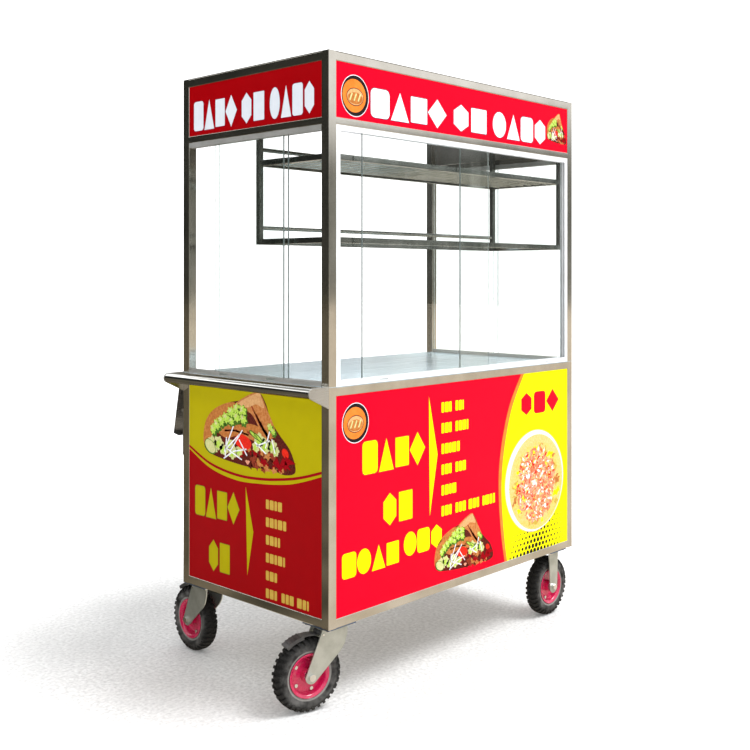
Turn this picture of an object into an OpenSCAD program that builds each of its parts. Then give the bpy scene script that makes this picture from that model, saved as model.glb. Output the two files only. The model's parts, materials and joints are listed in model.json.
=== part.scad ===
// Push vending cart: a steel cabinet on four pneumatic casters, with a framed, glazed display above it.
// +X runs along the long customer face, away from the push handle. -Y is the customer side and +Z is up.
// The origin is on the ground, under the middle of the cart's outer box as it stands.

/* [Body] */
// Length of the body over its corner posts
body_len = 1200; // [1000:10:1500]
// Depth of the body over its corner posts
body_dep = 655; // [560:5:800]
// Height of the cabinet, from the frame's underside to the top of its upper rails
cabinet_h = 655; // [540:5:800]
// Clear height of the windows, from the counter to the header
window_h = 714; // [590:2:860]
// Height of the header that carries the signs
header_h = 198; // [160:2:260]

/* [Tube and sheet] */
// Side of the square corner posts
post = 30; // [28:1:40]
// Side of the square rails
rail = 25; // [20:1:28]
// Side of the header's lower rails
head_rail = 20; // [16:1:25]
// Wall of the square tubes
wall = 1.5; // [1:0.1:2]
// Thickness of the body's sheets
sheet = 1.2; // [0.8:0.1:2]
// Depth of the turned edge round each body panel
panel_lip = 12; // [8:1:14]
// How far the panels lie behind the faces of the frame
panel_inset = 2; // [1:0.5:4]
// Height of the inner shelf above the cabinet floor
shelf_rise = 305; // [200:5:380]

/* [Windows] */
// Depth of the window tracks across their two grooves
track_d = 23; // [22:0.5:28]
// Play on each side of a pane in its groove
glass_play = 0.7; // [0.4:0.1:1]
// Thickness of the glass panes
glass_t = 5; // [4:0.5:6]
// Face height of the front window frame
front_track_h = 15; // [12:1:20]
// Face height of the sill tracks at the two ends
sill_track_h = 12; // [10:1:16]
// Face height of the top tracks at the two ends
head_track_h = 15; // [12:1:20]
// Length by which each front pane passes the middle of the window
front_pane_lap = 17; // [5:1:60]
// Length by which each end pane passes the middle of the window
end_pane_lap = 13.5; // [5:0.5:40]
// How far the left front pane stands open
front_pane_open = 101; // [0:1:400]
// How far the outer left-end pane stands open
left_outer_open = 159; // [0:1:250]
// How far the inner left-end pane stands open
left_inner_open = 150; // [0:1:250]

/* [Rack] */
// Side of the rack's square tubes
rack_tube = 16; // [14:1:20]
// Depth of the rack from the back of the front header rail
rack_dep = 308; // [250:2:360]
// Drop from the header's underside to the middle of the bread shelf
rack_shelf_drop = 83; // [60:1:120]
// Drop from the header's underside to the middle of the lower rack frame
rack_low_drop = 313; // [220:1:420]
// Diameter of the shelf bars and the guard rails
rack_bar_d = 12; // [8:1:14]
// Height of each guard rail above its frame
guard_rise = 41; // [30:1:60]
// Number of bars in the bread shelf
rack_bars = 7; // [4:1:9]

/* [Push handle] */
// Diameter of the handle tube
handle_d = 28; // [25:1:34]
// Distance from the end of the body to the handle's axis
handle_out = 59; // [50:1:90]
// Height of each handle plate where it meets the post
gusset_h = 60; // [40:1:80]
// Thickness of the handle plates
gusset_t = 4; // [3:0.5:6]

/* [Casters] */
// Diameter of the tyres
tyre_d = 200; // [160:1:250]
// Height of the frame's underside above the tops of the tyres
caster_rise = 30; // [28:1:60]
// Width of the tyres
tyre_w = 50; // [44:1:54]
// Diameter of the rim flanges
rim_d = 122; // [110:1:130]
// Distance from a swivel axis to the end and to the side of the body
swivel_inset = 55; // [52:1:70]
// Distance from the right end to the fixed wheels' axles
fixed_inset = 83; // [78:1:110]
// Trail of the swivel casters
trail = 72; // [60:1:80]
// Turn of the front swivel caster, where 0 trails towards -X
front_swivel_deg = -15; // [-40:1:40]
// Turn of the rear swivel caster, where -90 trails towards +Y
rear_swivel_deg = -94; // [-120:1:-60]
// Clear width between the legs of a fork
fork_gap = 58; // [58:1:64]
// Thickness of the fork plates
fork_t = 3.5; // [3:0.5:4]
// Diameter of the wheel axles
axle_d = 12; // [10:1:14]

/* [Rear shelf] */
// Depth of the folding rear shelf, from its hinge to its edge
flap_dep = 196; // [150:1:210]
// Depth of the lip along the shelf's edge
flap_lip = 27; // [15:1:28]
// Distance from the rear face to the shelf's hinge axis
flap_out = 15; // [13:1:20]
// Angle that the hanging shelf leans outwards
flap_lean = 11; // [5:1:12]
// Length of each shelf stay
stay_len = 135; // [125:1:140]

/* [Hidden] */

$fn = 48;
// Overshoot of a cutting shape past the face that it cuts
cut = 1;
// Radial running clearance of a pin or shaft in its bore
run = 0.05;
// Gap left between two pieces that pass or turn beside each other
gap = 0.3;

// Heights of the main levels
frame_z = tyre_d + caster_rise;
cab_z = frame_z + cabinet_h;
counter_z = cab_z + sheet;
head_z = counter_z + window_h;
roof_z = head_z + header_h;

// Plan of the wheels, measured from the body's near left corner
tyre_r = tyre_d / 2;
shoulder_r = 20;
front_swivel = [swivel_inset, swivel_inset];
rear_swivel = [swivel_inset, body_dep - swivel_inset];
front_wheel = front_swivel + trail * trail_dir(front_swivel_deg);
rear_wheel = rear_swivel + trail * trail_dir(rear_swivel_deg);
fixed_x = body_len - fixed_inset;

// Direction in which a swivel caster trails
function trail_dir(turn) = [-cos(turn), -sin(turn)];
// Reach of a round-shouldered tyre along a level direction at an angle to its rolling direction
function tyre_reach(angle) =
  (tyre_r - shoulder_r) * abs(cos(angle)) + (tyre_w / 2 - shoulder_r) * abs(sin(angle)) + shoulder_r;

// Outer box of the standing cart in plan, and its middle, which is the origin
box_x0 = min(front_wheel.x - tyre_reach(front_swivel_deg), -handle_out - handle_d / 2 - sheet);
box_x1 = max(body_len, fixed_x + tyre_r);
flap_reach = flap_out + flap_dep * sin(flap_lean);
box_y1 = max(rear_wheel.y + tyre_reach(90 + rear_swivel_deg), body_dep + flap_reach);
mid_x = (box_x0 + box_x1) / 2;
mid_y = box_y1 / 2;

// Casters: heights and small parts
plate_t = 4;
race_t = 3.7;
plate_z = frame_z - plate_t;
crown_z = plate_z - race_t - gap;
bolt_r = 4;
bolt_head_h = 3.4;
hub_r = 19;
bearing_r = 16;
bearing_w = 10;
hub_half = 22;
disc_half = 3;
rim_bolts = 5;
rim_bolt_pcd = 84;
rim_bolt_r = 3;
seat_gap = 0.01;
tyre_wall = 6;
brake_gap = 0.8;
brake_pin = [36, tyre_d + 9];
brake_pin_r = 3;

// Rear shelf hinge
flap_z = cab_z - 5;
flap_y = body_dep + flap_out;
hinge_r = 4.5;
hinge_pin_r = 2.5;
hinge_len = 60;
hinge_x = [150, body_len / 2, body_len - 150];
stay_z = flap_z - 115;
stay_y = body_dep + 8;
stay_w = 10;
stay_pin_r = 3;
lug_t = 2.5;
lug_r = 6;
lug_gap = 0.5;
bracket_w = stay_w + 2 * (lug_t + lug_gap);

// Cart's own frame: the body's near left corner is moved off the origin by half the outer box
module cart() {
  translate([-mid_x, -mid_y, 0]) children();
}

// Square tubes along each axis, from their lowest corner
module tube_x(at, len, side, thick = wall) {
  translate(at) difference() {
    cube([len, side, side]);
    translate([-cut, thick, thick]) cube([len + 2 * cut, side - 2 * thick, side - 2 * thick]);
  }
}

module tube_y(at, len, side, thick = wall) {
  translate(at) difference() {
    cube([side, len, side]);
    translate([thick, -cut, thick]) cube([side - 2 * thick, len + 2 * cut, side - 2 * thick]);
  }
}

module tube_z(at, len, side, thick = wall) {
  translate(at) difference() {
    cube([side, side, len]);
    translate([thick, thick, -cut]) cube([side - 2 * thick, side - 2 * thick, len + 2 * cut]);
  }
}

// Four copies at the corners of the body, from a shape drawn in the first corner
module corners(side) {
  for (x = [0, body_len - side], y = [0, body_dep - side]) translate([x, y, 0]) children();
}

// Rails along the front and the back, between the posts
module long_rails(z, side, backs = [0, 1]) {
  for (b = backs) tube_x([post, b * (body_dep - side), z], body_len - 2 * post, side);
}

// Rails along the two ends, between the posts
module end_rails(z, side) {
  for (x = [0, body_len - side]) tube_y([x, post, z], body_dep - 2 * post, side);
}

// Tray-shaped panel of size w by h in the XZ plane, with its lip turned towards +Y
module pan(w, h, lip = panel_lip) {
  difference() {
    cube([w, lip, h]);
    translate([sheet, sheet, sheet]) cube([w - 2 * sheet, lip, h - 2 * sheet]);
  }
}

// A panel for the left end, from z0, and its mirror image at the right end
module end_pan(z0, h, right = false) {
  translate([right ? body_len - panel_inset : panel_inset, right ? post : body_dep - post, z0])
    rotate([0, 0, right ? 90 : -90]) pan(body_dep - 2 * post, h);
}

/* ---- Lower frame and cabinet ---- */

// Casters' bolts pass through plates, plugs and the tubes' lower walls
module caster_bolt_places() {
  for (x = concat(swivel_bolt_x, fixed_bolt_x), y = bolt_y) translate([x, y, 0]) children();
}
// The bolts of a swivel plate line up with the middles of the frame's rails
bolt_half = swivel_inset - rail / 2;
fixed_half = 36;
swivel_bolt_x = [rail / 2, swivel_inset + bolt_half];
fixed_bolt_x = [fixed_x - fixed_half, fixed_x + fixed_half];
bolt_y = [rail / 2, swivel_inset + bolt_half, body_dep - swivel_inset - bolt_half, body_dep - rail / 2];

module bolt_holes(z, len) {
  caster_bolt_places() translate([0, 0, z - cut]) cylinder(r = bolt_r + run, h = len + 2 * cut);
}

module lower_posts() {
  color("silver") cart() corners(post) tube_z([0, 0, frame_z], cabinet_h, post);
}

module bottom_rails() {
  color("silver") cart() difference() {
    union() {
      long_rails(frame_z, rail);
      end_rails(frame_z, rail);
    }
    bolt_holes(frame_z, wall);
  }
}

module cross_members() {
  middle_x = body_len / 2;
  color("silver") cart() difference() {
    for (x = [swivel_bolt_x[1], middle_x, fixed_bolt_x[0], fixed_bolt_x[1]])
      tube_y([x - rail / 2, rail, frame_z], body_dep - 2 * rail, rail);
    bolt_holes(frame_z, wall);
  }
}

module cabinet_top_rails() {
  color("silver") cart() {
    long_rails(cab_z - rail, rail);
    end_rails(cab_z - rail, rail);
  }
}

// Solid plugs close the foot of each post, and tubes inside the posts join the upper frame to the lower one
plug_h = 12;
insert_gap = 0.1;
spigot_len = 120;
spigot = post - 2 * wall - 2 * insert_gap;

module post_inserts() {
  color("dimgray") cart() {
    difference() {
      corners(post) translate([wall + insert_gap, wall + insert_gap, frame_z]) cube([spigot, spigot, plug_h]);
      bolt_holes(frame_z, plug_h);
    }
    corners(post)
      tube_z([wall + insert_gap, wall + insert_gap, cab_z - spigot_len / 2], spigot_len, spigot, 2);
  }
}

panel_z = frame_z + rail;
panel_h = cabinet_h - 2 * rail;

module front_panel() {
  color("crimson") cart() translate([post, panel_inset, panel_z]) pan(body_len - 2 * post, panel_h);
}

module left_panel() {
  color("gold") cart() end_pan(panel_z, panel_h);
}

module right_panel() {
  color("gold") cart() end_pan(panel_z, panel_h, true);
}

// Sheet inside the cabinet, behind the panels' lips and cut away round the front posts
inside = panel_inset + panel_lip;

module inside_sheet(z, t) {
  difference() {
    translate([inside, inside, z]) cube([body_len - 2 * inside, body_dep - post - inside, t]);
    for (x = [0, body_len - post]) translate([x, 0, z - cut]) cube([post, post, t + 2 * cut]);
  }
}

module cabinet_floor() {
  color("gainsboro") cart() inside_sheet(panel_z, sheet);
}

// The inner shelf is a sheet with a downturned lip along its front and its back
shelf_lip = 20;

module inner_shelf() {
  z = panel_z + sheet + shelf_rise;
  color("gainsboro") cart() {
    inside_sheet(z, sheet);
    for (y = [post, body_dep - post - sheet])
      translate([post, y, z - shelf_lip]) cube([body_len - 2 * post, sheet, shelf_lip]);
  }
}

module counter_top() {
  color("aliceblue") cart() difference() {
    translate([0, 0, cab_z]) cube([body_len, body_dep, sheet]);
    corners(post)
      translate([wall, wall, cab_z - cut]) cube([post - 2 * wall, post - 2 * wall, sheet + 2 * cut]);
  }
}

/* ---- Sliding doors on the vendor's side ---- */

door_rib = 1.2;
door_slot = (rail - 3 * door_rib) / 2;
door_play = 0.85;
door_t = door_slot - 2 * door_play;
door_low_h = 8;
door_high_h = 16;
door_lap = 20;
door_gap = 1;
door_w = (body_len - 2 * post) / 2 + door_lap;
door_rise = 1;
door_h = panel_h - sheet - door_rise - 4;
pull_r = 23;
pull_depth = door_t - 2;
pull_inset = 60;

// A channel with two slots that open upwards, from its lowest corner
module door_channel(h) {
  difference() {
    cube([body_len - 2 * post, rail, h]);
    for (i = [0, 1])
      translate([-cut, door_rib + i * (door_slot + door_rib), sheet])
        cube([body_len - 2 * post + 2 * cut, door_slot, h]);
  }
}

module door_tracks() {
  color("lightgray") cart() translate([post, body_dep - rail, 0]) {
    translate([0, 0, panel_z]) door_channel(door_low_h);
    translate([0, rail, cab_z - rail]) rotate([180, 0, 0]) door_channel(door_high_h);
  }
}

// One door: a tray that opens inwards, with a round finger cup. Slot 1 is the outer one
module door(x, slot, pull_x) {
  y0 = body_dep - rail + door_rib + slot * (door_slot + door_rib) + (door_slot - door_t) / 2;
  translate([x, y0 + door_t, panel_z + sheet + door_rise]) mirror([0, 1, 0]) difference() {
    union() {
      pan(door_w, door_h, door_t);
      translate([pull_x, 0, door_h / 2]) rotate([-90, 0, 0]) cylinder(r = pull_r + sheet, h = pull_depth);
    }
    translate([pull_x, -cut, door_h / 2]) rotate([-90, 0, 0])
      cylinder(r = pull_r, h = pull_depth - sheet + cut);
  }
}

module door_left() {
  color("gainsboro") cart() door(post + door_gap, 1, pull_inset);
}

module door_right() {
  color("gainsboro") cart() door(body_len - post - door_gap - door_w, 0, door_w - pull_inset);
}

/* ---- Upper frame, header and roof ---- */

module upper_posts() {
  color("silver") cart() corners(post) tube_z([0, 0, counter_z], roof_z - counter_z, post);
}

module roof_rails() {
  color("silver") cart() {
    long_rails(roof_z - rail, rail);
    end_rails(roof_z - rail, rail);
  }
}

module header_rails() {
  color("silver") cart() {
    long_rails(head_z, head_rail, [0]);
    end_rails(head_z, head_rail);
  }
}

module roof_sheet() {
  color("gainsboro") cart() translate([0, 0, roof_z]) cube([body_len, body_dep, sheet]);
}

module header_panels() {
  z = head_z + head_rail;
  h = header_h - head_rail - rail;
  color("crimson") cart() {
    translate([post, panel_inset, z]) pan(body_len - 2 * post, h);
    end_pan(z, h);
    end_pan(z, h, true);
  }
}

/* ---- Windows ---- */

track_inset = 1;
groove_w = glass_t + 2 * glass_play;
track_rib = (track_d - 2 * groove_w) / 3;
track_floor = 3;
side_floor = 4;
pane_gap = 0.8;
weep_w = 38;
weep_h = 5;
weep_front_x = [220, body_len - 170];
weep_end_y = [240, body_dep - 200];

// Distance from a frame's outer face to the middle of groove i, where groove 0 is the outer one
function groove_mid(i) = track_inset + track_rib + groove_w / 2 + i * (groove_w + track_rib);

// An oblong drain slot through the outer wall of a sill track, centred on its middle, across Y
module weep_slot() {
  half = (weep_w - weep_h) / 2;
  translate([0, -cut, 0]) {
    for (x = [-half, half]) translate([x, 0, 0]) rotate([-90, 0, 0])
      cylinder(d = weep_h, h = track_rib + 2 * cut, $fn = 24);
    translate([-half, 0, -weep_h / 2]) cube([2 * half, track_rib + 2 * cut, weep_h]);
  }
}

// The front window's frame, a bar along each side with a hairline joint at each corner
module front_window_track() {
  w = body_len - 2 * post;
  joint = 0.2;
  color("white") cart() translate([post, track_inset, counter_z]) difference() {
    union() {
      for (z = [0, window_h - front_track_h]) translate([0, 0, z]) cube([w, track_d, front_track_h]);
      for (x = [0, w - front_track_h]) translate([x, 0, front_track_h + joint])
        cube([front_track_h, track_d, window_h - 2 * front_track_h - 2 * joint]);
    }
    for (i = [0, 1])
      translate([side_floor, groove_mid(i) - track_inset - groove_w / 2, track_floor])
        cube([w - 2 * side_floor, groove_w, window_h - 2 * track_floor]);
    for (x = weep_front_x) translate([x - post, 0, front_track_h / 2]) weep_slot();
  }
}

// A straight track with two grooves that open upwards, along X from its lowest corner
module end_track(h) {
  len = body_dep - 2 * post;
  difference() {
    cube([len, track_d, h]);
    for (i = [0, 1])
      translate([-cut, groove_mid(i) - track_inset - groove_w / 2, track_floor])
        cube([len + 2 * cut, groove_w, h]);
  }
}

// Both tracks of the left end, drawn along X with the outer face towards -Y
module end_window() {
  difference() {
    translate([0, 0, counter_z]) end_track(sill_track_h);
    for (y = weep_end_y) translate([y - post, 0, counter_z + sill_track_h / 2]) weep_slot();
  }
  translate([0, track_d, head_z]) rotate([180, 0, 0]) end_track(head_track_h);
}

module side_window_tracks() {
  color("lightgray") cart() {
    translate([track_inset, post, 0]) mirror([1, -1, 0]) end_window();
    translate([body_len - track_inset, post, 0]) rotate([0, 0, 90]) end_window();
  }
}

pane_z = counter_z + track_floor + pane_gap;
pane_h = window_h - 2 * track_floor - 2 * pane_gap;
front_pane_lo = post + side_floor + pane_gap;
end_pane_lo = post + pane_gap;
front_pane_w = body_len / 2 - front_pane_lo + front_pane_lap;
end_pane_w = body_dep / 2 - end_pane_lo + end_pane_lap;

module front_pane(x, groove) {
  color("lightblue", 0.35) cart()
    translate([x, groove_mid(groove) - glass_t / 2, pane_z]) cube([front_pane_w, glass_t, pane_h]);
}

module front_pane_left() {
  front_pane(front_pane_lo + front_pane_open, 0);
}

module front_pane_right() {
  front_pane(body_len - front_pane_lo - front_pane_w, 1);
}

module end_pane(y, groove, right = false) {
  x = right ? body_len - groove_mid(groove) : groove_mid(groove);
  color("lightblue", 0.35) cart()
    translate([x - glass_t / 2, y, pane_z]) cube([glass_t, end_pane_w, pane_h]);
}

module left_pane_outer() {
  end_pane(end_pane_lo + left_outer_open, 0);
}

module left_pane_inner() {
  end_pane(end_pane_lo + left_inner_open, 1);
}

module right_pane_outer() {
  end_pane(end_pane_lo, 0, true);
}

module right_pane_inner() {
  end_pane(body_dep - end_pane_lo - end_pane_w, 1, true);
}

/* ---- Bread rack ---- */

rack_y0 = max(rail, track_inset + track_d + 1);
rack_y1 = rack_y0 + rack_dep - rack_tube;
rack_x0 = post;
rack_x1 = body_len - post - rack_tube;
rack_shelf_z = head_z - rack_shelf_drop;
rack_low_z = head_z - rack_low_drop;
beam_y = rack_y1 + rack_tube / 2 - rail / 2;

module rack_hangers() {
  foot = rack_low_z - rack_tube / 2;
  color("silver") cart() for (x = [rack_x0, rack_x1]) {
    tube_z([x, rack_y0, foot], roof_z - foot, rack_tube);
    tube_z([x, rack_y1, foot], roof_z - rail - foot, rack_tube);
  }
}

// One rectangular level of the rack, as four tubes between its hangers
module rack_level(z) {
  for (y = [rack_y0, rack_y1])
    tube_x([rack_x0 + rack_tube, y, z - rack_tube / 2], rack_x1 - rack_x0 - rack_tube, rack_tube);
  for (x = [rack_x0, rack_x1])
    tube_y([x, rack_y0 + rack_tube, z - rack_tube / 2], rack_y1 - rack_y0 - rack_tube, rack_tube);
}

module rack_bar(x, y, z, len) {
  translate([x, y, z]) rotate([0, 90, 0]) cylinder(d = rack_bar_d, h = len);
}

module rack_rails() {
  color("silver") cart() {
    rack_level(rack_shelf_z);
    rack_level(rack_low_z);
    for (z = [rack_shelf_z, rack_low_z])
      rack_bar(rack_x0 + rack_tube, rack_y1 + rack_tube / 2, z + guard_rise, rack_x1 - rack_x0 - rack_tube);
    tube_x([rail, beam_y, roof_z - rail], body_len - 2 * rail, rail);
  }
}

module rack_shelf_bars() {
  pitch = (rack_y1 - rack_y0 - rack_tube) / (rack_bars + 1);
  len = rack_x1 - rack_x0 - rack_tube;
  color("silver") cart() for (i = [1 : rack_bars])
    rack_bar(rack_x0 + rack_tube, rack_y0 + rack_tube + i * pitch, rack_shelf_z, len);
}

/* ---- Push handle ---- */

handle_z = cab_z - handle_d / 2 + 2;
gusset_r = handle_d / 2 + sheet;

module push_handle() {
  color("silver") cart() translate([-handle_out, gusset_t, handle_z]) rotate([-90, 0, 0]) difference() {
    cylinder(d = handle_d, h = body_dep - 2 * gusset_t);
    translate([0, 0, -cut]) cylinder(d = handle_d - 2 * wall, h = body_dep - 2 * gusset_t + 2 * cut);
  }
}

// Plate in XZ: a disc on the handle's axis, joined to the post by a level top edge and a rising lower edge
module gusset_shape() {
  low = [0, -gusset_h + gusset_r];
  reach = norm(low - [-handle_out, 0]);
  slope = atan2(-low.y, handle_out) - asin(gusset_r / reach);
  touch = [-handle_out - gusset_r * sin(slope), -gusset_r * cos(slope)];
  polygon(concat(
    [[0, gusset_r], low],
    [for (a = [-90 - slope : -(90 - slope) / 12 : -180]) [-handle_out, 0] + gusset_r * [cos(a), sin(a)]],
    [for (a = [172.5 : -7.5 : 90]) [-handle_out, 0] + gusset_r * [cos(a), sin(a)]]
  ));
}

module handle_gussets() {
  color("lightgray") cart() for (y = [gusset_t, body_dep])
    translate([0, y, handle_z]) rotate([90, 0, 0]) linear_extrude(gusset_t) gusset_shape();
}

/* ---- Folding rear shelf ---- */

flap_start = 6;
flap_top = 5.2;
leaf_t = 1.5;
leaf_len = 32;
back_lip = 12;

// Drawn level, with the hinge axis along X at the origin and the shelf reaching out along +Y
module level_shelf() {
  len = body_len - 10;
  x0 = 5;
  difference() {
    union() {
      translate([x0, flap_start, flap_top - sheet]) cube([len, flap_dep - flap_start, sheet]);
      translate([x0, flap_dep - sheet, flap_top - flap_lip]) cube([len, sheet, flap_lip]);
      for (x = hinge_x) {
        translate([x - hinge_len / 6 + gap, 0, flap_top - sheet - leaf_t])
          cube([hinge_len / 3 - 2 * gap, leaf_len, leaf_t]);
        translate([x - hinge_len / 6 + gap, 0, 0]) rotate([0, 90, 0])
          cylinder(r = hinge_r, h = hinge_len / 3 - 2 * gap);
      }
    }
    for (x = hinge_x) translate([x - hinge_len / 2, 0, 0]) rotate([0, 90, 0])
      cylinder(r = hinge_pin_r + run, h = hinge_len);
  }
}

module rear_shelf() {
  color("silver") cart()
    translate([0, flap_y, flap_z]) rotate([flap_lean - 90, 0, 0]) level_shelf();
}

// Fixed leaves on the rear top rail, with the outer knuckles and their pins
module shelf_hinges() {
  web_t = 3;
  fixed_leaf_t = 2;
  color("gray") cart() for (x = hinge_x) {
    difference() {
      union() {
        translate([x - hinge_len / 2, body_dep, cab_z - rail]) cube([hinge_len, fixed_leaf_t, rail]);
        for (side = [-1, 1]) translate([x + side * hinge_len / 3 - hinge_len / 6, 0, 0]) {
          translate([0, body_dep, flap_z - web_t / 2]) cube([hinge_len / 3, flap_out, web_t]);
          translate([0, flap_y, flap_z]) rotate([0, 90, 0]) cylinder(r = hinge_r, h = hinge_len / 3);
        }
      }
      translate([x - hinge_len / 2 - cut, flap_y, flap_z]) rotate([0, 90, 0])
        cylinder(r = hinge_pin_r + run, h = hinge_len + 2 * cut);
    }
    translate([x - hinge_len / 2, flap_y, flap_z]) rotate([0, 90, 0])
      cylinder(r = hinge_pin_r, h = hinge_len);
  }
}

// Place along X of the stays and the bumpers, on the rear posts, as [left, right] lowest values
bracket_inset = 3;
stay_x = [bracket_inset, body_len - bracket_inset - bracket_w];
bumper_w = 8;
bumper_x = [post - bumper_w - 1, body_len - post + 1];

// Rubber pads that the hanging shelf's lip leans on
module shelf_bumpers() {
  tip = [flap_dep - sheet / 2, flap_top - flap_lip];
  tip_y = flap_y + tip.x * sin(flap_lean) + tip.y * cos(flap_lean);
  tip_z = flap_z - tip.x * cos(flap_lean) + tip.y * sin(flap_lean);
  pad_h = 16;
  color("black") cart() for (x = bumper_x)
    translate([x, body_dep, tip_z - pad_h / 2]) cube([bumper_w, tip_y - body_dep - gap, pad_h]);
}

module stay_brackets() {
  base_t = 2;
  reach = stay_y - body_dep;
  color("gray") cart() for (x = stay_x) {
    difference() {
      union() {
        translate([x, body_dep, stay_z - 2 * lug_r]) cube([bracket_w, base_t, 4 * lug_r]);
        for (dx = [0, bracket_w - lug_t]) translate([x + dx, body_dep, 0]) {
          translate([0, 0, stay_z - lug_r]) cube([lug_t, reach, 2 * lug_r]);
          translate([0, reach, stay_z]) rotate([0, 90, 0]) cylinder(r = lug_r, h = lug_t);
        }
      }
      translate([x - cut, stay_y, stay_z]) rotate([0, 90, 0])
        cylinder(r = stay_pin_r + run, h = bracket_w + 2 * cut);
    }
    translate([x, stay_y, stay_z]) rotate([0, 90, 0]) cylinder(r = stay_pin_r, h = bracket_w);
  }
}

// A stay hangs from its pin, with a round foot at its lower end
module stay(x) {
  eye_r = 5.4;
  foot_r = 4;
  bar_t = 4;
  color("silver") cart() translate([x + lug_t + lug_gap, stay_y, stay_z]) difference() {
    union() {
      rotate([0, 90, 0]) cylinder(r = eye_r, h = stay_w);
      translate([0, -bar_t / 2, -stay_len]) cube([stay_w, bar_t, stay_len]);
      translate([0, 0, -stay_len]) rotate([0, 90, 0]) cylinder(r = foot_r, h = stay_w);
    }
    translate([-cut, 0, 0]) rotate([0, 90, 0]) cylinder(r = stay_pin_r + run, h = stay_w + 2 * cut);
  }
}

module stay_left() {
  stay(stay_x[0]);
}

module stay_right() {
  stay(stay_x[1]);
}

/* ---- Casters ---- */

kingpin_r = 6;
race_r = 38;
fork_half = fork_gap / 2 + fork_t;
axle_r = axle_d / 2;
plate_margin = 10;

// Top plates, with a raised race under the two that swivel
module caster_plates() {
  color("lightsteelblue") cart() difference() {
    union() {
      for (at = [front_swivel, rear_swivel]) {
        half = bolt_half + plate_margin;
        translate([at.x - half, at.y - half, plate_z]) cube([2 * half, 2 * half, plate_t]);
        translate([at.x, at.y, plate_z - race_t]) cylinder(r = race_r, h = race_t + plate_t / 2);
      }
      for (y = [swivel_inset, body_dep - swivel_inset])
        translate([fixed_x - fixed_half - plate_margin, y - bolt_half - plate_margin, plate_z])
          cube([2 * (fixed_half + plate_margin), 2 * (bolt_half + plate_margin), plate_t]);
    }
    bolt_holes(plate_z, plate_t);
    for (at = [front_swivel, rear_swivel]) translate([at.x, at.y, plate_z - race_t - cut])
      cylinder(r = kingpin_r + run, h = race_t + plate_t + 2 * cut);
  }
}

// Low-headed bolts from below, and the nuts inside the rails
module caster_fasteners() {
  head_r = 7;
  nut_h = 6.5;
  shank = plate_t + nut_h + wall + 2;
  color("silver") cart() caster_bolt_places() {
    translate([0, 0, plate_z - bolt_head_h]) cylinder(r = head_r, h = bolt_head_h);
    translate([0, 0, plate_z - bolt_head_h / 2]) cylinder(r = bolt_r, h = shank + bolt_head_h / 2);
  }
  color("silver") cart() for (x = concat(swivel_bolt_x, fixed_bolt_x), y = bolt_y)
    if (x > post || (y > post && y < body_dep - post))
      translate([x, y, frame_z + wall]) difference() {
        cylinder(r = head_r, h = nut_h, $fn = 6);
        translate([0, 0, -cut]) cylinder(r = bolt_r + run, h = nut_h + 2 * cut);
      }
}

// A hexagon head or nut and its shank, along X from the middle of the wheel
module axle_bolt() {
  head_h = 7.5;
  head_r = 10.5;
  rotate([0, 90, 0]) {
    translate([0, 0, -fork_half - head_h]) cylinder(r = axle_r, h = 2 * (fork_half + head_h));
    for (z = [-fork_half - head_h, fork_half]) translate([0, 0, z]) cylinder(r = head_r, h = head_h, $fn = 6);
  }
}

// Sleeves on the axle between the fork's legs and the bearings
module axle_sleeves() {
  len = fork_gap / 2 - hub_half - 2 * gap;
  rotate([0, 90, 0]) for (z = [hub_half + gap, -hub_half - gap - len]) translate([0, 0, z]) difference() {
    cylinder(r = axle_r + 3, h = len);
    translate([0, 0, -cut]) cylinder(r = axle_r + run, h = len + 2 * cut);
  }
}

// Kingpins of the swivel casters and axles of the fixed ones
module caster_pins() {
  head_r = kingpin_r + 5;
  head_h = 5;
  under = crown_z - fork_t - gap;
  color("silver") cart() {
    for (at = [front_swivel, rear_swivel]) translate([at.x, at.y, under]) {
      translate([0, 0, -head_h]) cylinder(r = head_r, h = head_h);
      translate([0, 0, -cut]) cylinder(r = kingpin_r, h = frame_z - under + cut);
    }
    for (y = [swivel_inset, body_dep - swivel_inset])
      translate([fixed_x, y, tyre_r]) rotate([0, 0, 90]) {
        axle_bolt();
        axle_sleeves();
      }
  }
}

// Outline of a swivel fork's leg: t runs backwards along the trail from the kingpin, and z is up
crown_half = 40;

module swivel_leg_shape() {
  top = crown_z;
  end_r = 18.5;
  polygon(concat(
    [[-crown_half, top], [1 - crown_half, top - 22], [9 - crown_half, top - 48], [21 - crown_half, top - 65]],
    [for (a = [232 : 12 : 364]) [trail, tyre_r] + end_r * [cos(a), sin(a)]],
    [[crown_half, top - 4], [crown_half, top]]
  ));
}

// Outline of a fixed fork's leg, straight down from its plate
fixed_crown_half = 28;

module fixed_leg_shape() {
  low_r = 22;
  waist = [fixed_crown_half - 2, plate_z - 30];
  polygon(concat(
    [[fixed_crown_half, plate_z], [-fixed_crown_half, plate_z], [-waist.x, waist.y]],
    [for (a = [180 : 15 : 360]) [0, tyre_r] + low_r * [cos(a), sin(a)]],
    [waist]
  ));
}

// Two legs and the crown between them. Legs stand across Y, and the outline runs along X
module fork_body(z_top, half) {
  for (y = [-fork_gap / 2, fork_half]) translate([0, y, 0]) rotate([90, 0, 0])
    linear_extrude(fork_t) children();
  translate([-half, -fork_half, z_top - fork_t]) cube([2 * half, 2 * fork_half, fork_t]);
}

// Everything on a swivel caster is drawn with its kingpin at the origin and its trail along +X
module on_swivel(rear) {
  at = rear ? rear_swivel : front_swivel;
  turn = rear ? rear_swivel_deg : front_swivel_deg;
  cart() translate([at.x, at.y, 0]) rotate([0, 0, 180 + turn]) children();
}

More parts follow.
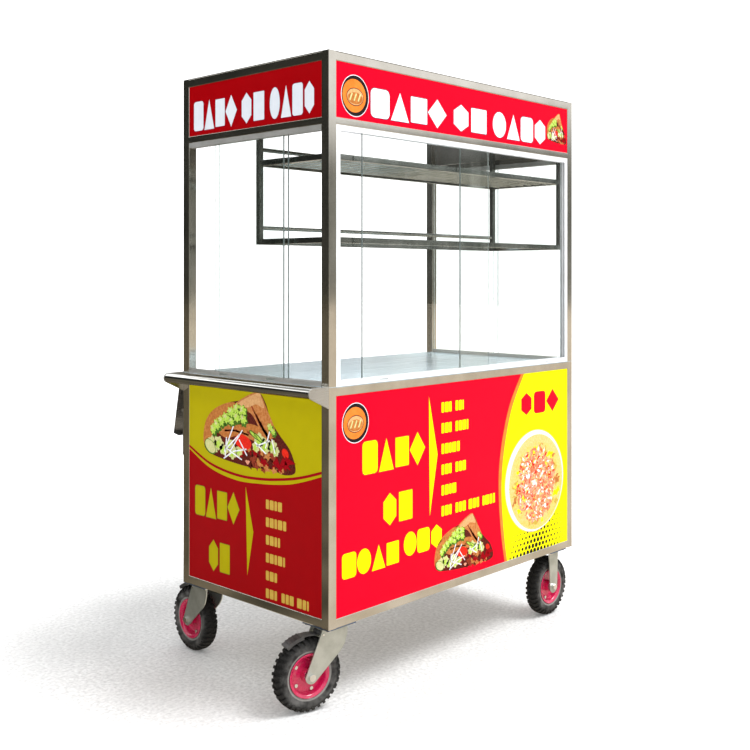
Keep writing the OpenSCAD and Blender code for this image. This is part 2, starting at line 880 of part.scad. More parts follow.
module swivel_fork(rear) {
  color("lightgray") on_swivel(rear) difference() {
    fork_body(crown_z, crown_half) swivel_leg_shape();
    translate([0, 0, crown_z - fork_t - cut]) cylinder(r = kingpin_r + run, h = fork_t + 2 * cut);
    for (hole = [[trail, tyre_r, axle_r], [brake_pin.x, brake_pin.y, brake_pin_r]])
      translate([hole[0], fork_half + cut, hole[1]]) rotate([90, 0, 0])
        cylinder(r = hole[2] + run, h = 2 * (fork_half + cut));
  }
}

module swivel_pins(rear) {
  color("silver") on_swivel(rear) {
    translate([trail, 0, tyre_r]) rotate([0, 0, 90]) {
      axle_bolt();
      axle_sleeves();
    }
    translate([brake_pin.x, fork_half + 2, brake_pin.y]) rotate([90, 0, 0])
      cylinder(r = brake_pin_r, h = 2 * (fork_half + 2));
  }
}

// Points of an arc about the wheel's axle, with angles measured backwards from straight up
function wheel_arc(r, a0, a1, n) =
  [for (i = [0 : n]) let (a = a0 + (a1 - a0) * i / n) [trail + r * sin(a), tyre_r + r * cos(a)]];

// Foot brake: a curved shoe and tread over the tyre, on an arm from a pin across the fork
module pedal(rear) {
  shoe_in = tyre_r + brake_gap;
  shoe_out = shoe_in + 9;
  shoe_w = 34;
  arm_w = 28;
  eye_r = 7;
  rib = 1.6;
  pin_a = atan2(brake_pin.x - trail, brake_pin.y - tyre_r);
  color("black") on_swivel(rear) rotate([90, 0, 0]) difference() {
    union() {
      translate([0, 0, -shoe_w / 2]) linear_extrude(shoe_w) {
        polygon(concat(wheel_arc(shoe_out, 8, 38, 12), wheel_arc(shoe_in, 38, 8, 12)));
        for (a = [12 : 6 : 36]) polygon(concat(
          wheel_arc(shoe_out + rib, a - 1, a + 1, 1), wheel_arc(shoe_out - rib, a + 1, a - 1, 1)
        ));
      }
      translate([0, 0, -arm_w / 2]) linear_extrude(arm_w)
        polygon(concat(wheel_arc(shoe_out, pin_a, 9, 10), wheel_arc(shoe_out - 4, 9, pin_a, 10)));
      translate([brake_pin.x, brake_pin.y, -arm_w / 2]) cylinder(r = eye_r, h = arm_w);
    }
    translate([brake_pin.x, brake_pin.y, -arm_w / 2 - cut])
      cylinder(r = brake_pin_r + run, h = arm_w + 2 * cut);
  }
}

module fork_front_left() { swivel_fork(false); }
module fork_rear_left() { swivel_fork(true); }
module pins_front_left() { swivel_pins(false); }
module pins_rear_left() { swivel_pins(true); }
module pedal_front_left() { pedal(false); }
module pedal_rear_left() { pedal(true); }

module fixed_forks() {
  color("lightgray") cart() for (y = [swivel_inset, body_dep - swivel_inset])
    translate([fixed_x, y, 0]) difference() {
      fork_body(plate_z, fixed_crown_half) fixed_leg_shape();
      translate([0, fork_half + cut, tyre_r]) rotate([90, 0, 0])
        cylinder(r = axle_r + run, h = 2 * (fork_half + cut));
    }
}

/* ---- Wheels ---- */

// Each wheel is drawn with its axis along Y, then stood at its own place: 0 and 1 swivel, 2 and 3 are fixed
module on_wheel(i) {
  if (i < 2) on_swivel(i == 1) translate([trail, 0, tyre_r]) rotate([90, 0, 0]) children();
  else cart() translate([fixed_x, i == 2 ? swivel_inset : body_dep - swivel_inset, tyre_r])
    rotate([90, 0, 0]) children();
}

bead_r = rim_d / 2 - 9;
bead_half = 13;

// Half section of the tyre from the middle of its tread to its bead, pulled in by a given thickness
function tyre_side(pull) =
  let (q = shoulder_r - pull, c = [tyre_r - shoulder_r, tyre_w / 2 - shoulder_r])
    concat(
      [for (a = [0 : 10 : 90]) c + q * [cos(a), sin(a)]],
      [[(bead_r + c.x) / 2 + 6, tyre_w / 2 - pull - 1], [rim_d / 2 + 1, tyre_w / 2 - 6 - pull]]
    );

function flip(points) = [for (i = [len(points) - 1 : -1 : 0]) [points[i].x, -points[i].y]];

// A hollow tyre, open between its beads, where the rim closes it
module tyre(i) {
  outer = tyre_side(0);
  inner = tyre_side(tyre_wall);
  bead = [[bead_r, bead_half + 2], [bead_r, bead_half - 4]];
  half = concat(outer, bead, [for (k = [len(inner) - 1 : -1 : 0]) inner[k]]);
  color("black") on_wheel(i) rotate_extrude($fn = 96) polygon(concat(half, flip(half)));
}

// Half section of the rim from the middle of its barrel round the flange, the dish and the hub
rim_r = rim_d / 2;
rim_side = [
  [bead_r - 0.2, 0], [bead_r - 0.2, 17.2], [rim_r, 19.4], [rim_r, 21.4], [bead_r - 1, 20],
  [bead_r - 2, 14], [bead_r - 4, disc_half], [hub_r, disc_half], [hub_r, hub_half], [bearing_r, hub_half]
];

module rim(i) {
  color("crimson") on_wheel(i) difference() {
    rotate_extrude($fn = 96) polygon(concat(rim_side, flip(rim_side)));
    for (k = [0 : rim_bolts - 1]) rotate([0, 0, (k + 0.5) * 360 / rim_bolts])
      translate([rim_bolt_pcd / 2, 0, -disc_half - cut])
        cylinder(r = rim_bolt_r + run, h = 2 * (disc_half + cut), $fn = 24);
  }
}

// Two ball bearings in the hub, and the bolts through the rim's disc
module hub(i) {
  head_h = 4;
  head_r = 5.5;
  color("silver") on_wheel(i) {
    for (z = [hub_half - bearing_w, -hub_half]) translate([0, 0, z]) difference() {
      cylinder(r = bearing_r - seat_gap, h = bearing_w);
      translate([0, 0, -cut]) cylinder(r = axle_r + run, h = bearing_w + 2 * cut);
    }
    for (k = [0 : rim_bolts - 1]) rotate([0, 0, (k + 0.5) * 360 / rim_bolts])
      translate([rim_bolt_pcd / 2, 0, -disc_half - head_h]) {
        cylinder(r = rim_bolt_r, h = 2 * (disc_half + head_h), $fn = 24);
        for (z = [0, head_h + 2 * disc_half]) translate([0, 0, z]) cylinder(r = head_r, h = head_h, $fn = 6);
      }
  }
}

module tyre_front_left() { tyre(0); }
module tyre_rear_left() { tyre(1); }
module tyre_front_right() { tyre(2); }
module tyre_rear_right() { tyre(3); }
module rim_front_left() { rim(0); }
module rim_rear_left() { rim(1); }
module rim_front_right() { rim(2); }
module rim_rear_right() { rim(3); }
module hub_front_left() { hub(0); }
module hub_rear_left() { hub(1); }
module hub_front_right() { hub(2); }
module hub_rear_right() { hub(3); }

lower_posts();
bottom_rails();
cross_members();
cabinet_top_rails();
post_inserts();
front_panel();
left_panel();
right_panel();
cabinet_floor();
inner_shelf();
counter_top();
door_tracks();
door_left();
door_right();
upper_posts();
roof_rails();
header_rails();
roof_sheet();
header_panels();
front_window_track();
side_window_tracks();
front_pane_left();
front_pane_right();
left_pane_outer();
left_pane_inner();
right_pane_outer();
right_pane_inner();
rack_hangers();
rack_rails();
rack_shelf_bars();
push_handle();
handle_gussets();
rear_shelf();
shelf_hinges();
shelf_bumpers();
stay_brackets();
stay_left();
stay_right();
caster_plates();
caster_fasteners();
caster_pins();
fixed_forks();
fork_front_left();
pins_front_left();
pedal_front_left();
fork_rear_left();
pins_rear_left();
pedal_rear_left();
tyre_front_left();
rim_front_left();
hub_front_left();
tyre_rear_left();
rim_rear_left();
hub_rear_left();
tyre_front_right();
rim_front_right();
hub_front_right();
tyre_rear_right();
rim_rear_right();
hub_rear_right();
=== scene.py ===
# %% [markdown]
# # A push vending cart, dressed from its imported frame
# The cart is a welded stainless frame with a printed steel cabinet, a glazed display with a bread rack
# above it, a header with signs, and four pneumatic casters. The frame file holds every piece at its true
# size and place. This lesson gives each piece the look of the real one: rounded tube corners, cut vinyl on
# the panels, block tread on the tyres, pressed forks and the right steel, glass, paint and rubber.

# %% Load the frame and measure it
import json
import math
import random

import bmesh
import bpy
from mathutils import Matrix, Vector


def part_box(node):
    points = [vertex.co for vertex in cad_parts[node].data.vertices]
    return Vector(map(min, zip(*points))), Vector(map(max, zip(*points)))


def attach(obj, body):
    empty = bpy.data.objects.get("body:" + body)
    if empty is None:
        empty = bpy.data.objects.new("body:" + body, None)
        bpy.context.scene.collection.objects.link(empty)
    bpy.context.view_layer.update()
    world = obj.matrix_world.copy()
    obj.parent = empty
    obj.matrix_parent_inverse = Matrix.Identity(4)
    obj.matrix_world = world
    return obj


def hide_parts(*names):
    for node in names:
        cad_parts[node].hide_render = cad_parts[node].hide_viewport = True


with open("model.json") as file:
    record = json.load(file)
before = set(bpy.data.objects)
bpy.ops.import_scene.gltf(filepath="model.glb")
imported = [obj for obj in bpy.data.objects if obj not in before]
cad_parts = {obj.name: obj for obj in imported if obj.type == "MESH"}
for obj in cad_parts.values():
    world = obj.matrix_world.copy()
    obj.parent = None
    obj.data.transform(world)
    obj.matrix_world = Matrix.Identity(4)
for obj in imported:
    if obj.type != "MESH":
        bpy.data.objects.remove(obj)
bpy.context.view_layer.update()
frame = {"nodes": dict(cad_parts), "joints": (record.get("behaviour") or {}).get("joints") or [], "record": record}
record = frame["record"]
MM = 0.001
X_AXIS, Y_AXIS, Z_AXIS = Vector((1, 0, 0)), Vector((0, 1, 0)), Vector((0, 0, 1))
body_of = {node: body for body, members in record["behaviour"]["bodies"].items() for node in members}
joint_of = {joint["name"]: joint for joint in frame["joints"]}

# %% [markdown]
# ## Where the viewer stands
# A cart like this is shown from its front left corner, at about eye height, so that the long sign and the
# handle end both face the viewer. The camera is level, which keeps the posts upright in the picture, and
# the lens is shifted down a little to take in the wheels. Its place is measured from the near corner post,
# so that it stays right if the cart changes size.

# %% Camera
near_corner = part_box("lower_posts")[0]
STAND_LEFT = 1.934
STAND_FRONT = 1.995
EYE_HEIGHT = 1.19
HEADING = math.radians(-46.68)
LENS_MM = 49.42
LENS_SHIFT = -0.1333

camera_data = bpy.data.cameras.new("viewer")
camera_data.lens = LENS_MM
camera_data.sensor_width = 36.0
camera_data.shift_y = LENS_SHIFT
camera = bpy.data.objects.new("viewer", camera_data)
camera.location = (near_corner.x - STAND_LEFT, near_corner.y - STAND_FRONT, EYE_HEIGHT)
camera.rotation_euler = (math.pi / 2, 0, HEADING)
bpy.context.collection.objects.link(camera)
bpy.context.scene.camera = camera
print("camera at", [round(c, 3) for c in camera.location])

# %% [markdown]
# ## Turning a mesh into a piece
# Every piece ends the same way. Its mesh already stands in its place, so the object stays at the origin.
# Shading is smooth except over sharp corners, and a Weighted Normal modifier keeps the broad faces flat
# beside their rounded edges. Then the piece rides on its body and takes its materials.

# %% Finish a piece
SMOOTH_ANGLE = math.radians(35)


def make_piece(name, bm, materials, body, replaces=()):
    mesh = bpy.data.meshes.new(name)
    bm.to_mesh(mesh)
    bm.free()
    for material in materials:
        mesh.materials.append(material)
    mesh.shade_smooth()
    mesh.set_sharp_from_angle(angle=SMOOTH_ANGLE)
    piece = bpy.data.objects.new(name, mesh)
    bpy.context.collection.objects.link(piece)
    normals = piece.modifiers.new("flat faces", "WEIGHTED_NORMAL")
    normals.keep_sharp = True
    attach(piece, body)
    if replaces:
        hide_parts(*replaces)
    return piece


def stand_for(node, bm, materials, name=None):
    """The finished form of one CAD node."""
    return make_piece(name or "finished_" + node, bm, materials, body_of[node], [node])


def join(parts):
    """One bmesh from several, with their UV maps and material numbers kept."""
    whole = bmesh.new()
    for part in parts:
        mesh = bpy.data.meshes.new("part")
        part.to_mesh(mesh)
        part.free()
        whole.from_mesh(mesh)
        bpy.data.meshes.remove(mesh)
    return whole


# %% [markdown]
# ## Reading the solids of a CAD node
# A node such as the corner posts holds several separate solids. Their meshes come as loose triangles, so a
# copy is merged first. Walking from face to face then finds each solid, and its box says where it stands.

# %% Solids of a node
MERGE = 2e-6


def merged_copy(node):
    bm = bmesh.new()
    bm.from_mesh(frame["nodes"][node].data)
    bmesh.ops.remove_doubles(bm, verts=bm.verts[:], dist=MERGE)
    return bm


def solid_groups(bm):
    """The vertices of each connected solid."""
    groups, seen = [], set()
    for start in bm.verts:
        if start in seen:
            continue
        group, front = [], [start]
        seen.add(start)
        while front:
            vert = front.pop()
            group.append(vert)
            for edge in vert.link_edges:
                other = edge.other_vert(vert)
                if other not in seen:
                    seen.add(other)
                    front.append(other)
        groups.append(group)
    return groups


def solid_boxes(node):
    bm = merged_copy(node)
    boxes = []
    for group in solid_groups(bm):
        low = Vector([min(v.co[i] for v in group) for i in range(3)])
        high = Vector([max(v.co[i] for v in group) for i in range(3)])
        boxes.append((low, high))
    bm.free()
    return sorted(boxes, key=lambda b: tuple(round(c, 4) for c in (*b[0], *b[1])))


# %% [markdown]
# ## Effects that several finishes share
# Brushed steel, paint and rubber all need the same few effects: long polishing streaks, cloudy smudges,
# and a fine grain. Each is a node group that puts out a mask or a height, and every material gives it its
# own scale. The shader itself stays in the material.

# %% Shared node groups


def new_group(name, inputs, outputs):
    group = bpy.data.node_groups.new(name, "ShaderNodeTree")
    for label, kind, value in inputs:
        socket = group.interface.new_socket(name=label, in_out="INPUT", socket_type=kind)
        if value is not None:
            socket.default_value = value
    for label, kind in outputs:
        group.interface.new_socket(name=label, in_out="OUTPUT", socket_type=kind)
    enter = group.nodes.new("NodeGroupInput")
    leave = group.nodes.new("NodeGroupOutput")
    return group, enter, leave


def noise_mask(name, detail, roughness, low, high):
    """A noise whose value runs from 0 to 1 between two levels, at the scale that the material gives."""
    group, enter, leave = new_group(
        name,
        [("Vector", "NodeSocketVector", None), ("Scale", "NodeSocketFloat", 1.0)],
        [("Mask", "NodeSocketFloat")],
    )
    noise = group.nodes.new("ShaderNodeTexNoise")
    noise.inputs["Detail"].default_value = detail
    noise.inputs["Roughness"].default_value = roughness
    span = group.nodes.new("ShaderNodeMapRange")
    span.inputs["From Min"].default_value = low
    span.inputs["From Max"].default_value = high
    link = group.links.new
    link(enter.outputs["Vector"], noise.inputs["Vector"])
    link(enter.outputs["Scale"], noise.inputs["Scale"])
    link(noise.outputs["Fac"], span.inputs["Value"])
    link(span.outputs["Result"], leave.inputs["Mask"])
    return group


streak_group = noise_mask("polishing_streaks", 5.0, 0.65, 0.3, 0.7)
smudge_group = noise_mask("cloudy_smudges", 6.0, 0.55, 0.38, 0.66)
grain_group = noise_mask("fine_grain", 3.0, 0.6, 0.25, 0.75)
print("node groups:", streak_group.name, smudge_group.name, grain_group.name)

# %% [markdown]
# ## A small kit for building materials
# A material is a Principled shader fed by masks. These helpers add one node each and return its socket, so
# that each recipe below reads like a list: take coordinates, make a mask, mix two colours by it.

# %% Material helpers


class NodeKit:
    """Adds nodes to a material's tree or to the world's."""

    def __init__(self, owner):
        owner.use_nodes = True
        self.nodes = owner.node_tree.nodes
        self.link = owner.node_tree.links.new

    def coordinates(self, scale=(1, 1, 1), source="Object"):
        place = self.nodes.new("ShaderNodeTexCoord")
        mapping = self.nodes.new("ShaderNodeMapping")
        mapping.inputs["Scale"].default_value = scale
        self.link(place.outputs[source], mapping.inputs["Vector"])
        return mapping.outputs["Vector"]

    def ranged(self, value, low, high, to_low=0.0, to_high=1.0):
        node = self.nodes.new("ShaderNodeMapRange")
        for label, number in (("From Min", low), ("From Max", high), ("To Min", to_low), ("To Max", to_high)):
            node.inputs[label].default_value = number
        self.link(value, node.inputs["Value"])
        return node.outputs["Result"]

    def math(self, operation, a, b):
        node = self.nodes.new("ShaderNodeMath")
        node.operation = operation
        self.link(a, node.inputs[0])
        if isinstance(b, (int, float)):
            node.inputs[1].default_value = b
        else:
            self.link(b, node.inputs[1])
        return node.outputs["Value"]

    def times(self, a, b):
        return self.math("MULTIPLY", a, b)

    def towards(self, vector, direction):
        """How far a vector points along a direction."""
        node = self.nodes.new("ShaderNodeVectorMath")
        node.operation = "DOT_PRODUCT"
        node.inputs[1].default_value = direction
        self.link(vector, node.inputs[0])
        return node.outputs["Value"]

    def mixed(self, mask, first, second):
        node = self.nodes.new("ShaderNodeMix")
        node.data_type = "RGBA"
        self.link(mask, node.inputs["Factor"])
        for socket, colour in ((node.inputs[6], first), (node.inputs[7], second)):
            if isinstance(colour, tuple):
                socket.default_value = (*colour, 1.0)
            else:
                self.link(colour, socket)
        return node.outputs[2]


class Recipe(NodeKit):
    """A material under construction, with one Principled shader."""

    def __init__(self, name, **constants):
        self.material = bpy.data.materials.new(name)
        super().__init__(self.material)
        self.shader = self.nodes["Principled BSDF"]
        for label, value in constants.items():
            self.shader.inputs[label.replace("_", " ")].default_value = value

    def mask(self, group, vector, scale):
        node = self.nodes.new("ShaderNodeGroup")
        node.node_tree = group
        node.inputs["Scale"].default_value = scale
        self.link(vector, node.inputs["Vector"])
        return node.outputs["Mask"]

    def attribute(self, name):
        node = self.nodes.new("ShaderNodeAttribute")
        node.attribute_name = name
        return node.outputs["Fac"]

    def colour(self, value):
        self.link(value, self.shader.inputs["Base Color"])

    def roughness(self, mask, smooth, rough):
        self.link(self.ranged(mask, 0, 1, smooth, rough), self.shader.inputs["Roughness"])

    def bump(self, height, distance, strength=1.0):
        node = self.nodes.new("ShaderNodeBump")
        node.inputs["Distance"].default_value = distance
        node.inputs["Strength"].default_value = strength
        self.link(height, node.inputs["Height"])
        if self.shader.inputs["Normal"].is_linked:
            self.link(self.shader.inputs["Normal"].links[0].from_socket, node.inputs["Normal"])
        self.link(node.outputs["Normal"], self.shader.inputs["Normal"])


# %% [markdown]
# ## Stainless steel
# The tubes are polished along their length, which leaves long fine streaks and bright, slightly cloudy
# reflections. Each tube carries a UV map that runs along it and round it, so the streaks follow the tube
# whichever way it lies. Sheets are polished one way, so they read plain object coordinates.

# %% Steel


def steel(name, light, dark, smooth, rough, scale, source="Object", depth=0.00003, metallic=1.0):
    recipe = Recipe(name, Metallic=metallic)
    streaks = recipe.mask(streak_group, recipe.coordinates(scale, source), 1.0)
    smudges = recipe.mask(smudge_group, recipe.coordinates(), 7.0)
    recipe.colour(recipe.mixed(smudges, light, dark))
    recipe.roughness(streaks, smooth, rough)
    recipe.bump(streaks, depth, 0.5)
    return recipe.material


tube_steel = steel("polished_tube", (0.66, 0.63, 0.57), (0.54, 0.51, 0.45), 0.05, 0.16, (5, 700, 1), "UV")
sheet_steel = steel("satin_sheet", (0.62, 0.62, 0.61), (0.52, 0.52, 0.51), 0.22, 0.38, (6, 500, 500))
# Painted shade: the rack is the same stainless as the frame, its colours darkened to stand for the shade and dark
# reflections under the roof.
rack_frame_steel_painted_shade = steel("rack_frame_in_painted_shade", (0.36, 0.38, 0.36), (0.20, 0.215, 0.20), 0.10, 0.28, (6, 300, 500))
# Painted reflection: the pale blue and the extra brightness of this steel stand for cool light reflected in the
# counter.
counter_steel_painted_reflection = steel(
    "counter_painted_blue_reflection", (0.74, 0.90, 1.0), (0.66, 0.82, 0.92), 0.12, 0.28, (4, 420, 420), metallic=0.5
)
bolt_steel = steel("bright_bolts", (0.86, 0.86, 0.84), (0.68, 0.67, 0.65), 0.10, 0.24, (300, 300, 300))
print("steels:", tube_steel.name, sheet_steel.name, counter_steel_painted_reflection.name, bolt_steel.name)

# %% [markdown]
# Zinc plate on the pressed forks is duller than stainless: a pale grey-green bloom with a soft spangle.
# The window tracks are powder coated, which gives a fine orange peel over a flat colour.

# %% Zinc plate and powder coat


def zinc(name, light, dark):
    recipe = Recipe(name, Metallic=0.85)
    bloom = recipe.mask(smudge_group, recipe.coordinates(), 24.0)
    spangle = recipe.mask(grain_group, recipe.coordinates(), 260.0)
    recipe.colour(recipe.mixed(bloom, light, dark))
    recipe.roughness(spangle, 0.3, 0.48)
    recipe.bump(spangle, 0.00005, 0.4)
    return recipe.material


def coated(name, colour, worn, smooth=0.28, rough=0.42, metallic=0.0, grain=900.0):
    recipe = Recipe(name, Metallic=metallic)
    peel = recipe.mask(grain_group, recipe.coordinates(), grain)
    wear = recipe.mask(smudge_group, recipe.coordinates(), 12.0)
    recipe.colour(recipe.mixed(wear, colour, worn))
    recipe.roughness(peel, smooth, rough)
    recipe.bump(peel, 0.00004, 0.35)
    return recipe.material


zinc_plate = zinc("zinc_plate", (0.58, 0.60, 0.56), (0.44, 0.46, 0.42))
# The caster plates are blue passivated zinc, and their colour is also darkened as painted shade under the frame
# corners.
blue_zinc_and_painted_shade = zinc("blue_zinc_and_painted_shade", (0.10, 0.15, 0.26), (0.20, 0.24, 0.30))
handle_steel = steel("handle_tube", (0.66, 0.66, 0.64), (0.52, 0.52, 0.50), 0.03, 0.09, (5, 700, 1), "UV")
# Painted shade: the rack's round bars and hangers, the frame's stainless darkened for the shade under the roof.
rack_steel_painted_shade = steel("rack_tube", (0.36, 0.38, 0.36), (0.20, 0.215, 0.20), 0.10, 0.28, (5, 700, 1), "UV")
track_white = coated("white_track", (0.88, 0.90, 0.92), (0.80, 0.82, 0.84))
track_grey = coated("grey_track", (0.60, 0.60, 0.58), (0.50, 0.50, 0.48), 0.3, 0.45, 0.6)
black_rubber = coated("moulded_rubber", (0.018, 0.018, 0.02), (0.05, 0.05, 0.05), 0.5, 0.75, 0.0, 500.0)
print("coats ready")

# %% [markdown]
# ## Glass
# Window glass is clear across its faces and green along its edges, where the light travels through the
# length of the sheet. The faces are a smooth Principled glass that lets lamp light straight through, so
# that the display inside is lit. The edges are ground, so they get a second, rougher green finish.

# %% Glass


def clear_glass():
    recipe = Recipe("window_glass", Metallic=0.0, Roughness=0.0, IOR=1.5, Transmission_Weight=1.0)
    smudges = recipe.mask(smudge_group, recipe.coordinates(), 5.0)
    recipe.colour(recipe.mixed(smudges, (0.975, 0.99, 0.985), (0.955, 0.98, 0.97)))
    nodes, link = recipe.nodes, recipe.link
    through = nodes.new("ShaderNodeBsdfTransparent")
    through.inputs["Color"].default_value = (0.93, 0.96, 0.95, 1)
    path = nodes.new("ShaderNodeLightPath")
    choose = nodes.new("ShaderNodeMixShader")
    link(path.outputs["Is Shadow Ray"], choose.inputs["Fac"])
    link(recipe.shader.outputs["BSDF"], choose.inputs[1])
    link(through.outputs["BSDF"], choose.inputs[2])
    link(choose.outputs["Shader"], nodes["Material Output"].inputs["Surface"])
    return recipe.material


def ground_edge():
    recipe = Recipe("ground_glass_edge", Metallic=0.0, IOR=1.5, Transmission_Weight=0.85)
    grind = recipe.mask(grain_group, recipe.coordinates(), 1500.0)
    recipe.colour(recipe.mixed(grind, (0.62, 0.85, 0.81), (0.76, 0.93, 0.90)))
    recipe.roughness(grind, 0.25, 0.45)
    return recipe.material


window_glass = clear_glass()
glass_edge = ground_edge()

# %% [markdown]
# ## Sign inks
# The signs are printed and cut vinyl. Each colour is a glossy film with a faint unevenness, and the
# colours of the food pictures are broken up by a grain of a second colour, at the scale of rice, crumb or
# leaf. One table lists them all: main colour, second colour, size of the grain in millimetres, and how
# much of it shows.

# %% Inks


def ink(name, colour, second, grain_mm, share):
    recipe = Recipe("ink_" + name, Metallic=0.0, Specular_IOR_Level=0.03)
    grain = recipe.mask(grain_group, recipe.coordinates(), 1.0 / (grain_mm * MM))
    waves = recipe.mask(smudge_group, recipe.coordinates(), 3.0)
    recipe.colour(recipe.mixed(recipe.times(grain, share), colour, second))
    recipe.roughness(waves, 0.35, 0.5)
    recipe.bump(waves, 0.0006, 0.12)
    return recipe.material


INK_TABLE = {
    "red": ((0.86, 0.0, 0.018), (0.80, 0.0, 0.016), 40, 0.6),
    # Painted shade: the red ink again, darkened for the end panels and the header's end faces.
    "red_in_painted_shade": ((0.34, 0.0, 0.002), (0.29, 0.0, 0.002), 40, 0.6),
    "lemon": ((1.0, 0.93, 0.0), (0.97, 0.87, 0.0), 40, 0.6),
    # Painted shade: the lemon ink again, darkened for the end panels.
    "lemon_in_painted_shade": ((0.46, 0.39, 0.0), (0.41, 0.35, 0.0), 40, 0.6),
    "orange": ((0.93, 0.17, 0.02), (0.95, 0.28, 0.05), 25, 0.7),
    "maroon": ((0.33, 0.0, 0.005), (0.28, 0.0, 0.004), 30, 0.6),
    "white": ((0.88, 0.88, 0.93), (0.82, 0.83, 0.90), 30, 0.6),
    "grey_white": ((0.72, 0.76, 0.82), (0.64, 0.68, 0.75), 20, 0.7),
    "plum": ((0.22, 0.0, 0.03), (0.16, 0.0, 0.03), 20, 0.5),
    "black": ((0.012, 0.012, 0.012), (0.03, 0.02, 0.02), 15, 0.5),
    "green_line": ((0.10, 0.16, 0.02), (0.16, 0.22, 0.04), 10, 0.5),
    "sand": ((0.62, 0.42, 0.07), (0.50, 0.32, 0.05), 12, 0.8),
    "crust": ((0.62, 0.24, 0.06), (0.30, 0.07, 0.015), 9, 0.8),
    "crumb": ((0.80, 0.48, 0.22), (0.55, 0.22, 0.07), 7, 0.8),
    "toast": ((0.42, 0.11, 0.02), (0.72, 0.34, 0.12), 8, 0.8),
    "lettuce": ((0.30, 0.55, 0.03), (0.66, 0.82, 0.16), 5, 0.9),
    "dark_leaf": ((0.03, 0.10, 0.01), (0.12, 0.26, 0.03), 5, 0.8),
    "cream": ((0.70, 0.68, 0.36), (0.46, 0.50, 0.12), 6, 0.8),
    "tomato": ((0.85, 0.03, 0.01), (0.55, 0.01, 0.01), 8, 0.7),
    "meat": ((0.16, 0.02, 0.01), (0.42, 0.07, 0.03), 6, 0.9),
    "gravy": ((0.04, 0.006, 0.004), (0.20, 0.03, 0.02), 5, 0.8),
    "porcelain": ((0.93, 0.91, 0.87), (0.86, 0.82, 0.76), 60, 0.8),
    "bowl_shade": ((0.40, 0.26, 0.10), (0.62, 0.46, 0.20), 20, 0.9),
    "rice": ((0.72, 0.44, 0.04), (0.82, 0.66, 0.26), 6, 1.0),
    "pale_rice": ((0.80, 0.66, 0.30), (0.70, 0.44, 0.10), 6, 1.0),
    "flakes": ((0.60, 0.09, 0.03), (0.80, 0.30, 0.16), 5, 1.0),
    "pale_flakes": ((0.80, 0.46, 0.32), (0.72, 0.16, 0.07), 4, 0.9),
}
inks = {name: ink(name, *row) for name, row in INK_TABLE.items()}
ink_list = list(inks.values())
ink_number = {name: i for i, name in enumerate(inks)}
print(len(inks), "inks")

# %% [markdown]
# ## Tubes
# The frame is cold rolled square tube, so its long corners are rounded while its ends are cut square and
# butt against each other. A block with its four long edges bevelled gives that shape. Rails run a little
# way into the posts, as far as the post's corner rounds away, which closes the joint the way a weld does.

# %% Square and round tubes
POST_CORNER = 3.2 * MM
RAIL_CORNER = 2.6 * MM
SMALL_CORNER = 1.8 * MM


def wrap_square(bm, run):
    """A UV map in metres: along the tube, and round it."""
    across = [i for i in range(3) if i != run]
    layer = bm.loops.layers.uv.new("wrap")
    bm.normal_update()
    for face in bm.faces:
        lean = [abs(face.normal[i]) for i in reversed(across)]
        for loop in face.loops:
            co = loop.vert.co
            loop[layer].uv = (co[run], co[across[0]] * lean[0] + co[across[1]] * lean[1])


def square_tube(low, high, corner, grow=0.0):
    size = high - low
    run = max(range(3), key=lambda i: size[i])
    size[run] += 2 * grow
    bm = bmesh.new()
    place = Matrix.Translation((low + high) / 2) @ Matrix.Diagonal((*size, 1))
    bmesh.ops.create_cube(bm, size=1, matrix=place)
    along = [e for e in bm.edges if abs((e.verts[0].co - e.verts[1].co)[run]) > size[run] / 2]
    bmesh.ops.bevel(
        bm, geom=along, offset=corner, offset_type="OFFSET", segments=4, profile=0.5, affect="EDGES",
        material=-1,
    )
    wrap_square(bm, run)
    return bm


TURN_TO = [Matrix.Rotation(math.pi / 2, 4, "Y"), Matrix.Rotation(-math.pi / 2, 4, "X"), Matrix.Identity(4)]


def round_bar(low, high, segments=24):
    size = high - low
    run = max(range(3), key=lambda i: size[i])
    radius = min(size) / 2
    middle = (low + high) / 2
    bm = bmesh.new()
    place = Matrix.Translation(middle) @ TURN_TO[run]
    bmesh.ops.create_cone(
        bm, cap_ends=True, segments=segments, radius1=radius, radius2=radius, depth=size[run], matrix=place
    )
    rims = [e for e in bm.edges if abs((e.verts[0].co - e.verts[1].co)[run]) < MERGE]
    bmesh.ops.bevel(bm, geom=rims, offset=0.6 * MM, segments=2, profile=0.5, affect="EDGES", material=-1)
    across = [i for i in range(3) if i != run]
    layer = bm.loops.layers.uv.new("wrap")
    for face in bm.faces:
        centre = face.calc_center_median() - middle
        start = math.atan2(centre[across[1]], centre[across[0]])
        for loop in face.loops:
            out = loop.vert.co - middle
            turn = math.atan2(out[across[1]], out[across[0]]) - start
            turn = (turn + math.pi) % (2 * math.pi) - math.pi
            loop[layer].uv = (loop.vert.co[run], (start + turn) * radius)
    return bm


def tubes(node, corner, grow=0.0):
    return join([square_tube(low, high, corner, grow) for low, high in solid_boxes(node)])


for node in ("lower_posts", "upper_posts"):
    stand_for(node, tubes(node, POST_CORNER), [tube_steel])
for node in ("bottom_rails", "cabinet_top_rails", "roof_rails"):
    stand_for(node, tubes(node, RAIL_CORNER, POST_CORNER), [tube_steel])
stand_for("header_rails", tubes("header_rails", SMALL_CORNER, POST_CORNER), [tube_steel])
stand_for("cross_members", tubes("cross_members", RAIL_CORNER), [tube_steel])
print("square tubes done")

# %% [markdown]
# ## The bread rack
# The rack hangs from the header on four thin square hangers. The shelf is a row of round bars, which are
# drawn new. The two frames are welded rings of square tube with round guard rails, so they keep their CAD
# form and get rounded edges with the other fittings.

